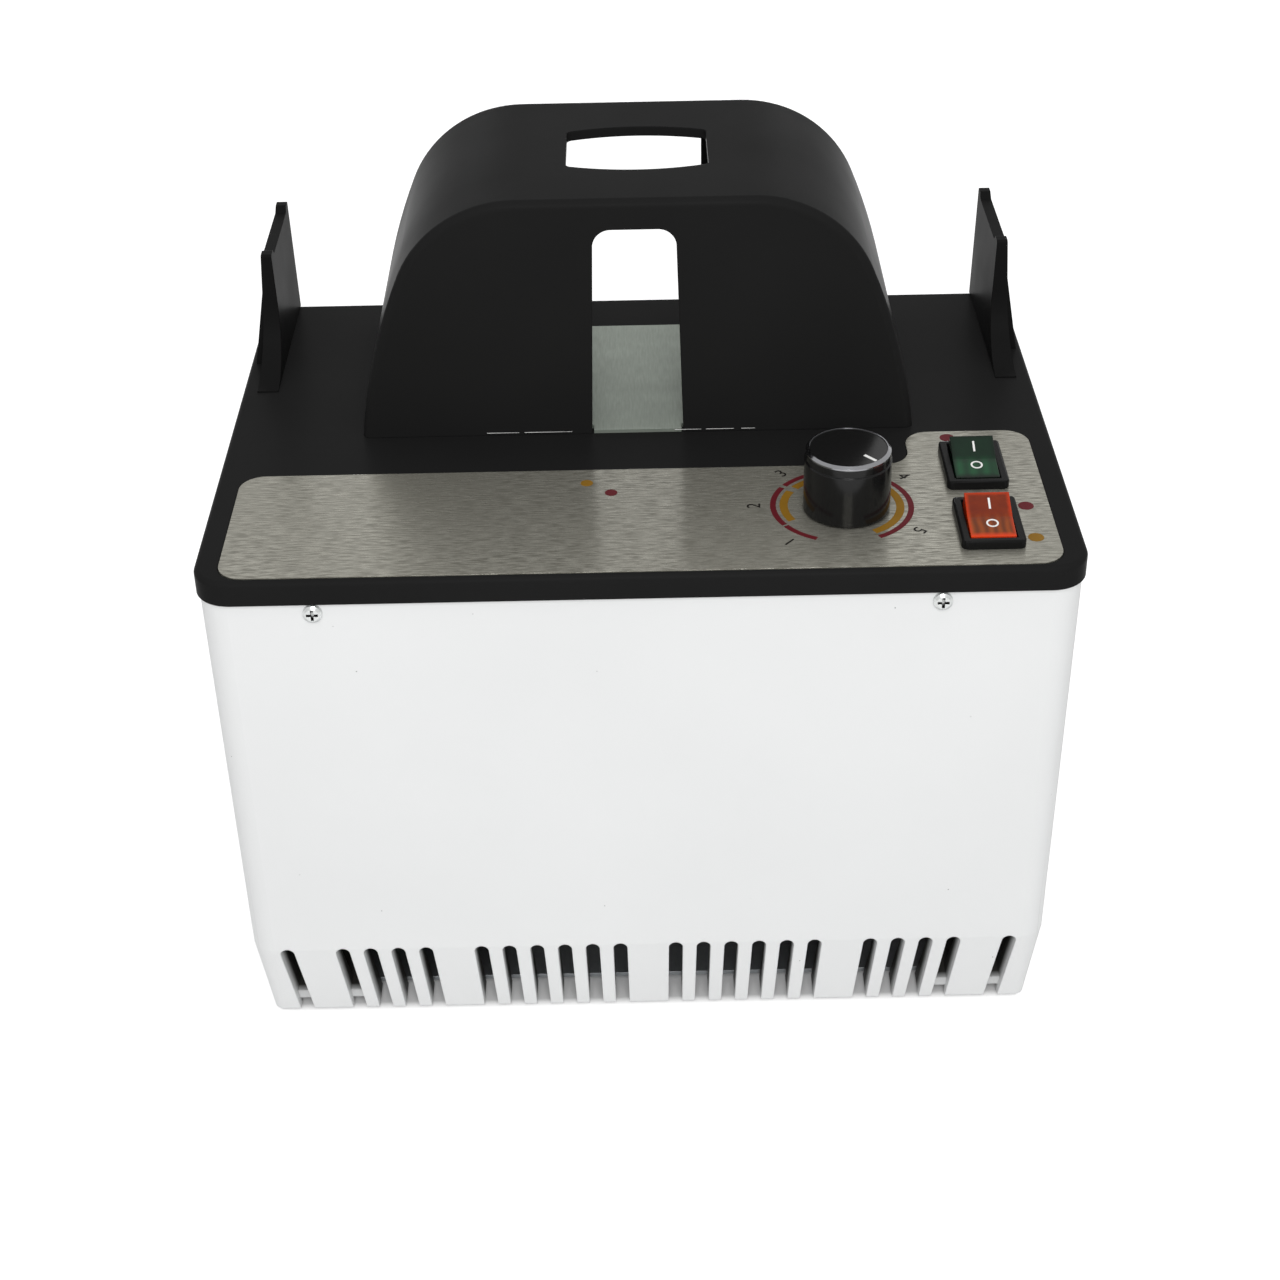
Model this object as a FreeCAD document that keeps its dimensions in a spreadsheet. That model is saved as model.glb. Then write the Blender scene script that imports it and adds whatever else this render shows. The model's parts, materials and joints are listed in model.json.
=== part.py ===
import FreeCAD, Part
import math
import os
import re
import Sketcher
from FreeCAD import Placement, Rotation, Vector

# Eyeglass frame warmer: a counter-top hot-air box. Air enters through the comb skirt of the
# white housing, is blown up through a heater and leaves through two portals that face each
# other across the channel under the black hood. +Z is up, the control panel is on the -Y side
# and the origin lies under the middle of the box, on the surface that the feet rest on.
# All sizes are in millimetres.

SIZES = {
    # top cover: a black tray with a turned-down rim
    "cover_width": 210.0,
    "cover_depth": 149.0,
    "cover_top": 139.0,
    "cover_corner": 9.0,
    "cover_sheet": 3.0,
    "cut_past": 1.0,
    "rim_height": 6.2,
    "rim_wall": 2.4,
    "rim_round": 1.3,
    # lower housing: a moulded box with a comb skirt
    "housing_inset": 1.0,
    "housing_draft": 0.9,
    "housing_corner": 6.0,
    "housing_wall": 2.2,
    "skirt_bottom": 2.0,
    "skirt_break": 25.0,
    "skirt_inset": 3.2,
    "fin_depth": 9.0,
    "fin_rise": 8.0,
    "comb_end": 11.14,
    "comb_slot": 3.64,
    "comb_top_rise": 0.3,
    "comb_lean": 0.033,
    "pad_setback": 2.0,
    "corner_pad": 22.0,
    "corner_pad_thick": 2.5,
    "corner_boss_radius": 4.0,
    "corner_boss_rise": 6.0,
    # base plate and feet
    "plate_lift": 0.8,
    "plate_thick": 1.2,
    "plate_gap": 0.3,
    "foot_radius": 6.6,
    "foot_side_gap": 0.3,
    "foot_bore": 3.2,
    "foot_seat": 1.2,
    "intake_slot": 3.0,
    "intake_length": 34.0,
    "intake_pitch": 8.0,
    # cover screws in the housing's front and rear walls
    "left_screw_inset": 28.0,
    "right_screw_inset": 34.5,
    "front_screw_drop": 2.7,
    "cover_tab_width": 9.0,
    "cover_tab_depth": 6.0,
    "cover_tab_length": 11.0,
    "tab_gap": 0.15,
    "screw_shank": 1.3,
    "screw_fit": 0.1,
    "screw_end_gap": 1.0,
    "screw_head": 2.3,
    "screw_head_rise": 1.4,
    "screw_cross": 0.7,
    "screw_cross_half": 1.4,
    "screw_cross_depth": 0.7,
    "screw_crown": 0.55,
    "screw_crown_radius": 1.6,
    # hood over the channel
    "hood_rear_gap": 12.0,
    "hood_half": 70.5,
    "hood_height": 63.5,
    "hood_flat": 29.0,
    "hood_corner": 32.5,
    "hood_side_radius": 157.0,
    "hood_wall": 2.5,
    "hood_edge": 2.0,
    "front_slot_base": 23.4,
    "front_slot_top": 20.4,
    "slot_top_gap": 7.5,
    "front_slot_corner": 4.5,
    "top_hole_side_gap": 0.6,
    "top_hole_shift": 1.1,
    "top_hole_half_y": 11.4,
    "top_hole_bow": 3.0,
    "top_hole_corner": 1.8,
    "hood_boss_side": 8.3,
    "hood_boss_end": 4.8,
    "hood_boss_radius": 3.0,
    "hood_boss_height": 12.0,
    "hood_boss_floor": 1.0,
    # channel floor and the two air ducts
    "channel_half": 18.5,
    "floor_thick": 1.0,
    "floor_gap": 0.5,
    "floor_rear_gap": 5.0,
    "floor_tongue_gap": 0.3,
    "duct_gap": 0.8,
    "duct_side_gap": 10.0,
    "duct_shoulder": 22.0,
    "duct_top_width": 25.0,
    "duct_top_gap": 17.5,
    "duct_sheet": 1.0,
    "duct_opening_inset": 2.0,
    "portal_half_y": 20.0,
    "portal_low": 7.0,
    "portal_top_gap": 7.0,
    "grille_sheet": 0.6,
    "grille_lip": 3.0,
    "grille_slot": 3.2,
    "grille_pitch": 4.8,
    "grille_end": 1.0,
    # cradles at the two sides
    "cradle_inset": 9.6,
    "cradle_thick": 5.6,
    "cradle_top_thick": 2.8,
    "cradle_lean": 0.7,
    "cradle_height": 31.8,
    "cradle_top_length": 36.4,
    "cradle_rear_gap": 0.1,
    "cradle_flare": 17.0,
    "cradle_toe": 0.4,
    "cradle_horn": 3.2,
    "cradle_horn_round": 0.7,
    "cradle_saddle": 1.6,
    "gusset_thick": 2.0,
    "gusset_width": 2.4,
    "gusset_height": 21.0,
    "rib_root": 0.5,
    "tab_length": 8.0,
    "tab_inset": 6.0,
    "tab_thick": 2.8,
    "tab_reach": 4.5,
    "tab_fit": 0.1,
    # control panel
    "panel_side_gap": 6.0,
    "panel_front_gap": 1.9,
    "panel_hood_gap": 2.8,
    "panel_depth": 48.0,
    "panel_raised_depth": 64.3,
    "panel_raised_width": 31.3,
    "panel_corner": 6.2,
    "panel_sheet": 0.5,
    "panel_recess": 0.3,
    "panel_fit": 0.15,
    # knob and potentiometer
    "knob_from_switches": 33.0,
    "knob_from_front": 27.1,
    "knob_radius": 10.5,
    "knob_height": 16.2,
    "knob_gap": 0.5,
    "knob_step": 0.3,
    "knob_band": 2.0,
    "ring_height": 1.0,
    "ring_inner": 9.3,
    "ring_chamfer": 0.6,
    "pointer_angle": -49.0,
    "pointer_inner": 5.2,
    "pointer_width": 0.8,
    "shaft_radius": 3.0,
    "shaft_fit": 0.06,
    "bushing_radius": 3.5,
    "bushing_rise": 5.0,
    "bushing_hole_fit": 0.15,
    "pot_radius": 8.3,
    "pot_depth": 8.5,
    "nut_flats": 10.0,
    "nut_thick": 2.0,
    "knob_hollow": 7.2,
    "knob_hollow_depth": 7.5,
    "knob_face_drop": 0.15,
    "pointer_depth": 0.4,
    "pointer_end_gap": 0.3,
    "shaft_length": 23.0,
    "shaft_end_gap": 0.5,
    "pot_floor": 1.0,
    # rocker switches
    "switch_from_side": 16.0,
    "switch_from_front": 17.0,
    "switch_pitch": 28.0,
    "bezel_width": 15.2,
    "bezel_length": 21.2,
    "bezel_rise": 2.2,
    "bezel_edge": 0.5,
    "switch_body_width": 12.8,
    "switch_body_length": 18.8,
    "switch_body_depth": 14.0,
    "switch_hole_fit": 0.2,
    "rocker_width": 10.7,
    "rocker_half_length": 7.6,
    "rocker_end_rise": 5.0,
    "rocker_dip": 0.8,
    "rocker_lip": 1.0,
    "rocker_keel": 2.2,
    "rocker_keel_half": 2.5,
    "rocker_gap": 0.35,
    "rocker_end_gap": 1.4,
    "rocker_well": 6.5,
    "well_step": 0.6,
    "rocker_pivot_drop": 0.9,
    "rocker_tilt": 13.0,
    "pivot_radius": 1.2,
    "pivot_fit": 0.05,
    "pivot_reach": 6.2,
    "blade_width": 4.8,
    "blade_thick": 0.8,
    "blade_length": 8.0,
    "blade_spacing": 6.0,
    # fan
    "fan_rear_gap": 19.5,
    "fan_side": 92.0,
    "fan_thick": 25.0,
    "fan_lift": 34.0,
    "fan_bore": 42.5,
    "fan_hole_spacing": 82.5,
    "fan_hole_radius": 2.2,
    "fan_hub_radius": 19.0,
    "fan_hub_wall": 2.0,
    "fan_spider_thick": 3.0,
    "fan_spider_width": 5.0,
    "spider_root": 1.0,
    "fan_tip_gap": 2.0,
    "fan_hub_gap": 2.0,
    "fan_hub_height": 18.0,
    "fan_blade_half": 7.0,
    "fan_blade_root": 0.25,
    "fan_root_rise": 5.0,
    "fan_tip_rise": 3.0,
    "fan_blade_thick": 1.6,
    "fan_blade_mid": 9.0,
    "fan_frame_corner": 4.0,
    "core_radius": 15.0,
    "core_height": 13.0,
    "bearing_radius": 4.0,
    "fan_shaft_radius": 1.5,
    "fan_shaft_fit": 0.04,
    "fan_shaft_end_gap": 0.5,
    "standoff_radius": 3.5,
    # heater
    "heater_height": 37.0,
    "heater_sheet": 1.0,
    "mica_thick": 1.0,
    "mica_margin": 3.5,
    "coil_ribbon_width": 5.0,
    "coil_ribbon_thick": 0.6,
    "coil_inner": 16.0,
    "coil_outer": 33.0,
    "coil_level_pitch": 12.0,
    "coil_hole_fit": 0.1,
    "cutout_radius": 8.0,
    "cutout_thick": 7.0,
    "cutout_flange": 11.0,
    "cutout_flange_thick": 1.0,
    "cutout_x": 20.0,
    "splitter_sheet": 1.2,
    "splitter_corner": 4.0,
    # control board
    "board_from_side": 15.0,
    "board_from_front": 28.5,
    "board_width": 34.0,
    "board_length": 72.0,
    "board_thick": 1.6,
    "board_lift": 6.0,
    "board_hole_inset": 4.0,
    "board_post": 2.5,
    "sink_from_left": 6.0,
    "sink_from_front": 28.0,
    "sink_width": 20.0,
    "sink_base": 3.0,
    "sink_fin": 1.2,
    "sink_fin_depth": 11.0,
    "sink_height": 24.0,
    "capacitor_from_left": 8.0,
    "capacitor_from_rear": 2.0,
    "capacitor_width": 9.0,
    "capacitor_length": 18.0,
    "capacitor_height": 15.0,
    "capacitor_round": 1.0,
    # power inlet in the rear wall
    "inlet_from_side": 41.0,
    "inlet_z": 58.0,
    "inlet_width": 27.0,
    "inlet_height": 19.6,
    "inlet_depth": 16.0,
    "inlet_flange_width": 50.0,
    "inlet_flange_height": 24.0,
    "inlet_flange_thick": 2.4,
    "inlet_seat_depth": 1.0,
    "inlet_fit": 0.15,
    "inlet_corner": 4.5,
    "inlet_cavity_width": 24.0,
    "inlet_cavity_height": 16.4,
    "inlet_cavity_depth": 14.5,
    "inlet_cavity_slant": 5.5,
    "inlet_screw_spacing": 40.0,
    "pin_wide": 4.0,
    "pin_thick": 2.0,
    "pin_length": 12.0,
    "pin_spacing": 7.0,
    "pin_row_drop": 1.2,
    "pin_earth_rise": 2.8,
}

COMB_STEPS = 13  # from the middle of a wall to its corner slots

# Where the pieces stand: each place follows from the sizes above.
PLACES = {
    "comb_pitch": "(cover_width / 2 - comb_end) / %d" % COMB_STEPS,
    "foot_from_side": "housing_inset + housing_draft + skirt_inset + fin_depth + foot_side_gap + foot_radius",
    "front_screw_left": "cover_width / 2 - left_screw_inset",
    "front_screw_right": "cover_width / 2 - right_screw_inset",
    "panel_half": "cover_width / 2 - panel_side_gap",
    "panel_front": "panel_front_gap - cover_depth / 2",
    "panel_rear": "panel_front + panel_depth",
    "panel_raised": "panel_front + panel_raised_depth",
    "panel_step_x": "panel_half - panel_raised_width",
    "hood_front": "panel_raised + panel_hood_gap",
    "hood_rear": "cover_depth / 2 - hood_rear_gap",
    "hood_boss_x": "hood_half - hood_boss_side",
    "slot_height": "hood_height - slot_top_gap",
    "top_hole_half_x": "channel_half - top_hole_side_gap",
    "duct_height": "hood_height - duct_top_gap",
    "portal_high": "duct_height - portal_top_gap",
    "duct_foot": "hood_half - hood_wall - duct_side_gap",
    "switch_x": "panel_half - switch_from_side",
    "temperature_switch_y": "panel_front + switch_from_front",
    "power_switch_y": "temperature_switch_y + switch_pitch",
    "knob_x": "switch_x - knob_from_switches",
    "knob_y": "panel_front + knob_from_front",
    "cradle_inner": "cover_width / 2 - cradle_inset",
    "cradle_rear": "cover_depth / 2 - cradle_rear_gap",
    "cradle_top_front": "cradle_rear - cradle_top_length",
    "cradle_base_front": "cradle_top_front - cradle_flare",
    "gusset_y": "cradle_top_front + gusset_thick / 2",
    "tab_inner": "cradle_inner + (cradle_thick - tab_thick) / 2",
    "tab_outer": "tab_inner + tab_thick",
    "fan_y": "cover_depth / 2 - fan_rear_gap - fan_side / 2",
    "board_x": "board_from_side - cover_width / 2",
    "board_y": "board_from_front - cover_depth / 2",
    "sink_x": "board_x + sink_from_left",
    "sink_y": "board_y + sink_from_front",
    "capacitor_x": "board_x + capacitor_from_left",
    "capacitor_y": "board_y + board_length - capacitor_from_rear - capacitor_length",
    "inlet_x": "inlet_from_side - cover_width / 2",
}

FAN_BLADES = 7
FRONT_COMB = [(-11, -10, -9, -8), (-6, -5, -4, -3, -2, -1), (1, 2, 3, 4, 5, 6), (8, 9, 10, 11)]
CORNER_COMB = [-COMB_STEPS, COMB_STEPS]
SIDE_COMB = [(-7, -6, -5, -4, -3, -2), (2, 3, 4, 5, 6, 7)]
INTAKE_SLOTS = 9
GRILLE_SLOTS = 8
COIL_LEVELS = (-0.5, 0.5)
SINK_FINS = 5

doc = FreeCAD.newDocument("FrameWarmer")
sheet = doc.addObject("Spreadsheet::Sheet", "Dimensions")
rows = [(alias, str(number)) for alias, number in SIZES.items()]
rows += [(alias, "=" + text) for alias, text in PLACES.items()]
for row, (alias, content) in enumerate(rows, start=1):
    sheet.set("A%d" % row, alias)
    sheet.set("B%d" % row, content)
    sheet.setAlias("B%d" % row, alias)
doc.recompute()

ALIASES = re.compile(r"\b(" + "|".join([*SIZES, *PLACES]) + r")\b")
parts = []


# ---- small helpers ------------------------------------------------------------------------

def cells(text):
    """An expression in plain size names, with each name pointed at its cell."""
    return ALIASES.sub(r"Dimensions.\1", text)


def value(text):
    return float(sheet.evalExpression(cells(text)))


def bind(item, prop, text):
    item.setExpression(prop, cells(text))


def keep(item, label):
    """Mark an object as one sub-part; its Label names its file."""
    item.Label = label
    parts.append(item)
    return item


def new_body(label, place=None):
    body = doc.addObject("PartDesign::Body", label)
    if place:
        for axis, text in zip("xyz", place):
            bind(body, "Placement.Base." + axis, text)
    return keep(body, label)


def origin_plane(body, role):
    return [item for item in body.Origin.OriginFeatures if item.Role == role][0]


def sketch_on(body, role, offset=None):
    """A sketch on one of the body's origin planes, moved along the plane's normal."""
    sketch = body.newObject("Sketcher::SketchObject", body.Name + "_sketch")
    sketch.AttachmentSupport = [(origin_plane(body, role), "")]
    sketch.MapMode = "FlatFace"
    if offset:
        bind(sketch, "AttachmentOffset.Base.z", offset)
    return sketch


def fix_point(sketch, geometry, position, x_text, y_text):
    for kind, text in (("DistanceX", x_text), ("DistanceY", y_text)):
        index = sketch.addConstraint(
            Sketcher.Constraint(kind, -1, 1, geometry, position, value(text)))
        bind(sketch, "Constraints[%d]" % index, text)


def polygon(sketch, points):
    """A closed polygon whose corners are each held by two bound distances."""
    corners = [Vector(value(x), value(y), 0) for x, y in points]
    first = sketch.GeometryCount
    count = len(corners)
    for i in range(count):
        sketch.addGeometry(Part.LineSegment(corners[i], corners[(i + 1) % count]), False)
    for i in range(count):
        after = first + (i + 1) % count
        sketch.addConstraint(Sketcher.Constraint("Coincident", first + i, 2, after, 1))
        fix_point(sketch, first + i, 1, *points[i])


def rounded_outline(sketch, points, radii):
    """A closed outline of level and upright lines, joined by tangent arcs."""
    count = len(points)
    corners = [Vector(value(x), value(y), 0) for x, y in points]
    rounds = [value(text) for text in radii]
    ways = [(corners[(i + 1) % count] - corners[i]).normalize() for i in range(count)]
    first = sketch.GeometryCount
    for i in range(count):
        after = (i + 1) % count
        start = corners[i] + ways[i] * rounds[i]
        end = corners[after] - ways[i] * rounds[after]
        sketch.addGeometry(Part.LineSegment(start, end), False)
    turns = []
    for i in range(count):
        before, ahead = ways[i - 1], ways[i]
        centre = corners[i] - before * rounds[i] + ahead * rounds[i]
        left_turn = before.x * ahead.y - before.y * ahead.x > 0
        turns.append(left_turn)
        begin = corners[i] - before * rounds[i] - centre
        finish = corners[i] + ahead * rounds[i] - centre
        if not left_turn:
            begin, finish = finish, begin
        circle = Part.Circle(centre, Vector(0, 0, 1), rounds[i])
        arc = Part.ArcOfCircle(circle, math.atan2(begin.y, begin.x), math.atan2(finish.y, finish.x))
        sketch.addGeometry(arc, False)
    for i in range(count):
        line, arc = first + i, first + count + i
        before = first + (i - 1) % count
        arc_in, arc_out = (1, 2) if turns[i] else (2, 1)
        sketch.addConstraint(Sketcher.Constraint("Tangent", before, 2, arc, arc_in))
        sketch.addConstraint(Sketcher.Constraint("Tangent", arc, arc_out, line, 1))
        index = sketch.addConstraint(Sketcher.Constraint("Radius", arc, rounds[i]))
        bind(sketch, "Constraints[%d]" % index, radii[i])
        level = abs(ways[i].y) < 0.5
        sketch.addConstraint(Sketcher.Constraint("Horizontal" if level else "Vertical", line))
        kind, text = ("DistanceY", points[i][1]) if level else ("DistanceX", points[i][0])
        index = sketch.addConstraint(Sketcher.Constraint(kind, -1, 1, line, 1, value(text)))
        bind(sketch, "Constraints[%d]" % index, text)


def rounded_rect(sketch, x0, x1, y0, y1, radius):
    rounded_outline(sketch, [(x0, y0), (x1, y0), (x1, y1), (x0, y1)], [radius] * 4)


def rect(sketch, x0, x1, y0, y1):
    polygon(sketch, [(x0, y0), (x1, y0), (x1, y1), (x0, y1)])


def circle(sketch, x, y, radius):
    index = sketch.GeometryCount
    centre = Vector(value(x), value(y), 0)
    sketch.addGeometry(Part.Circle(centre, Vector(0, 0, 1), value(radius)), False)
    fix_point(sketch, index, 3, x, y)
    size = sketch.addConstraint(Sketcher.Constraint("Radius", index, value(radius)))
    bind(sketch, "Constraints[%d]" % size, radius)


def extrude(body, kind, sketch, length=None, middle=False, back=False):
    """A Pad or a Pocket; without a length it goes through everything."""
    feature = body.newObject("PartDesign::" + kind, body.Name + "_" + kind.lower())
    feature.Profile = sketch
    if length:
        bind(feature, "Length", length)
    else:
        feature.Type = 1
    feature.Refine = False
    feature.Midplane = middle
    feature.Reversed = back
    sketch.Visibility = False
    body.Tip = feature
    return feature


def revolve(body, sketch):
    feature = body.newObject("PartDesign::Revolution", body.Name + "_turn")
    feature.Profile = sketch
    feature.ReferenceAxis = (sketch, ["V_Axis"])
    feature.Angle = 360
    body.Tip = feature
    return feature


def loft(body, kind, sketches):
    feature = body.newObject("PartDesign::" + kind, body.Name + "_loft")
    feature.Profile = sketches[0]
    feature.Sections = sketches[1:]
    feature.Ruled = True
    body.Tip = feature
    return feature


def round_edges(body, feature, kind, size, wanted):
    """Fillet or chamfer the edges that the test picks."""
    doc.recompute()
    names = []
    for index, edge in enumerate(feature.Shape.Edges, start=1):
        if wanted(edge):
            names.append("Edge%d" % index)
    dress = body.newObject("PartDesign::" + kind, body.Name + "_" + kind.lower())
    dress.Base = (feature, names)
    bind(dress, "Radius" if kind == "Fillet" else "Size", size)
    body.Tip = dress
    return dress


def row_of(body, feature, direction, pitch, count):
    """Repeat a feature along one axis of a sketch."""
    pattern = body.newObject("PartDesign::LinearPattern", body.Name + "_row")
    pattern.Originals = [feature]
    pattern.Direction = direction
    bind(pattern, "Length", "(%s) * %d" % (pitch, count - 1))
    pattern.Occurrences = count
    pattern.Refine = False
    body.Tip = pattern
    return pattern


def at_height(edge, height):
    box = edge.BoundBox
    return abs(box.ZMin - height) < 0.01 and abs(box.ZMax - height) < 0.01


def box(name, x0, x1, y0, y1, z0, z1):
    item = doc.addObject("Part::Box", name)
    for axis, prop, low, high in (("x", "Length", x0, x1), ("y", "Width", y0, y1), ("z", "Height", z0, z1)):
        bind(item, "Placement.Base." + axis, low)
        bind(item, prop, "(%s) - (%s)" % (high, low))
    return item


def cylinder(name, x, y, z0, z1, radius):
    item = doc.addObject("Part::Cylinder", name)
    bind(item, "Radius", radius)
    bind(item, "Height", "(%s) - (%s)" % (z1, z0))
    for axis, text in (("x", x), ("y", y), ("z", z0)):
        bind(item, "Placement.Base." + axis, text)
    return item


def group(label, items):
    """Several separate solids that share one node."""
    compound = doc.addObject("Part::Compound", label)
    compound.Links = items
    return keep(compound, label)


def cut(name, base, tool):
    item = doc.addObject("Part::Cut", name)
    item.Base = base
    item.Tool = tool
    return item


def fuse(name, items):
    item = doc.addObject("Part::MultiFuse", name)
    item.Shapes = items
    return item


# ---- values that several pieces share -----------------------------------------------------

HALF_WIDTH = "cover_width / 2"
HALF_DEPTH = "cover_depth / 2"
RIM_BOTTOM = "(cover_top - rim_height)"
COVER_UNDER = "(cover_top - cover_sheet)"
PANEL_TOP = "(cover_top - panel_recess + panel_sheet)"
HOOD_TOP = "(cover_top + hood_height)"
PLATE_BOTTOM = "(skirt_bottom + plate_lift)"
PLATE_TOP = "(%s + plate_thick)" % PLATE_BOTTOM
FAN_BOTTOM = "(%s + fan_lift)" % PLATE_TOP
FAN_TOP = "(%s + fan_thick)" % FAN_BOTTOM
HEATER_TOP = "(%s + heater_height)" % FAN_TOP
BREAK_INSET = "(housing_inset + housing_draft)"
BOTTOM_INSET = "(housing_inset + housing_draft + skirt_inset)"
INNER_INSET = "(%s + housing_wall)" % BREAK_INSET
FIN_TOP = "(skirt_break + fin_rise)"
SCREW_Z = "(%s - front_screw_drop)" % RIM_BOTTOM
INLET_SEAT = "(%s - inlet_flange_thick)" % HALF_DEPTH
FAN_HOLE = "fan_hole_spacing / 2"
FOOT_X = "(%s - foot_from_side)" % HALF_WIDTH
FOOT_Y = "(%s - foot_from_side)" % HALF_DEPTH
DUCT_FRONT = "(hood_front + hood_wall + duct_gap)"
DUCT_REAR = "(hood_rear - hood_wall - duct_gap)"
CHANNEL_Y = "((hood_front + hood_rear) / 2)"
HOOD_BOSS_Y = ("(hood_front + hood_boss_end)", "(hood_rear - hood_boss_end)")
CORNERS = [(sx, sy) for sx in ("", "-") for sy in ("", "-")]


def inset_section(body, height, inset, corner="housing_corner"):
    """A rounded rectangle parallel to the cover's outline, at one height."""
    sketch = sketch_on(body, "XY_Plane", height)
    half_x = "(%s - (%s))" % (HALF_WIDTH, inset)
    half_y = "(%s - (%s))" % (HALF_DEPTH, inset)
    rounded_rect(sketch, "-" + half_x, half_x, "-" + half_y, half_y, corner)
    return sketch


# ---- lower housing ------------------------------------------------------------------------

def round_topped_slot(sketch, middle, half, low, spring, lean):
    """A slot with a half-round top that starts at spring; its foot is drawn in by the lean."""
    left = "(%s) * (1 - %s) - (%s)" % (middle, lean, half)
    right = "(%s) * (1 - %s) + (%s)" % (middle, lean, half)
    first = sketch.GeometryCount
    x0, x1, y0, y1 = value(left), value(right), value(low), value(spring)
    sketch.addGeometry(Part.LineSegment(Vector(x0, y0, 0), Vector(x1, y0, 0)), False)
    radius = (x1 - x0) / 2
    centre = Vector(value(middle), y1, 0)
    top = Part.Circle(centre, Vector(0, 0, 1), radius)
    tilt = math.atan2(centre.x - (x0 + x1) / 2, y1 - y0)
    ends = [centre + Vector(math.cos(turn), math.sin(turn), 0) * radius for turn in (-tilt, math.pi - tilt)]
    sketch.addGeometry(Part.LineSegment(Vector(x1, y0, 0), ends[0]), False)
    sketch.addGeometry(Part.ArcOfCircle(top, -tilt, math.pi - tilt), False)
    sketch.addGeometry(Part.LineSegment(ends[1], Vector(x0, y0, 0)), False)
    sketch.addConstraint([
        Sketcher.Constraint("Coincident", first, 2, first + 1, 1),
        Sketcher.Constraint("Tangent", first + 1, 2, first + 2, 1),
        Sketcher.Constraint("Tangent", first + 2, 2, first + 3, 1),
        Sketcher.Constraint("Coincident", first + 3, 2, first, 1)])
    fix_point(sketch, first, 1, left, low)
    fix_point(sketch, first, 2, right, low)
    fix_point(sketch, first + 2, 3, middle, spring)
    index = sketch.addConstraint(Sketcher.Constraint("Radius", first + 2, radius))
    bind(sketch, "Constraints[%d]" % index, half)


def comb_sketch(body, role, steps, offset=None):
    sketch = sketch_on(body, role, offset)
    for step in steps:
        round_topped_slot(sketch, "(%g) * comb_pitch" % step, "comb_slot / 2",
                          "skirt_bottom - cut_past", "skirt_break + comb_top_rise - comb_slot / 2",
                          "comb_lean")
    return sketch


def tapered(body, kind, low, high, low_inset, high_inset):
    """A four-sided block centred on the Z axis, whose walls lean between two insets."""
    block = body.newObject("PartDesign::" + kind, body.Name + "_block")
    block.Placement = Placement(Vector(), Rotation(Vector(1, 0, 0), 90))
    for prop, half, inset in (("X", HALF_WIDTH, low_inset), ("X2", HALF_WIDTH, high_inset),
                              ("Z", HALF_DEPTH, low_inset), ("Z2", HALF_DEPTH, high_inset)):
        bind(block, prop + "min", "-(%s - (%s))" % (half, inset))
        bind(block, prop + "max", "%s - (%s)" % (half, inset))
    bind(block, "Ymin", low)
    bind(block, "Ymax", high)
    body.Tip = block
    return block


def lean_walls(body, block, low, high, inset):
    """Draft a block's upright faces about the housing's break line, by an inset over its height."""
    doc.recompute()
    bottom, top = value(low), value(high)
    names = []
    for index, face in enumerate(block.Shape.Faces, start=1):
        limits = face.BoundBox
        if abs(limits.ZMin - bottom) < 0.01 and abs(limits.ZMax - top) < 0.01:
            names.append("Face%d" % index)
    plane = body.newObject("PartDesign::Plane", body.Name + "_break")
    plane.AttachmentSupport = [(origin_plane(body, "XY_Plane"), "")]
    plane.MapMode = "FlatFace"
    bind(plane, "AttachmentOffset.Base.z", "skirt_break")
    draft = body.newObject("PartDesign::Draft", body.Name + "_draft")
    draft.Base = (block, names)
    draft.NeutralPlane = (plane, [""])
    draft.Reversed = True
    bind(draft, "Angle", "atan((%s) / ((%s) - (%s)))" % (inset, high, low))
    body.Tip = draft
    return draft


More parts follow.
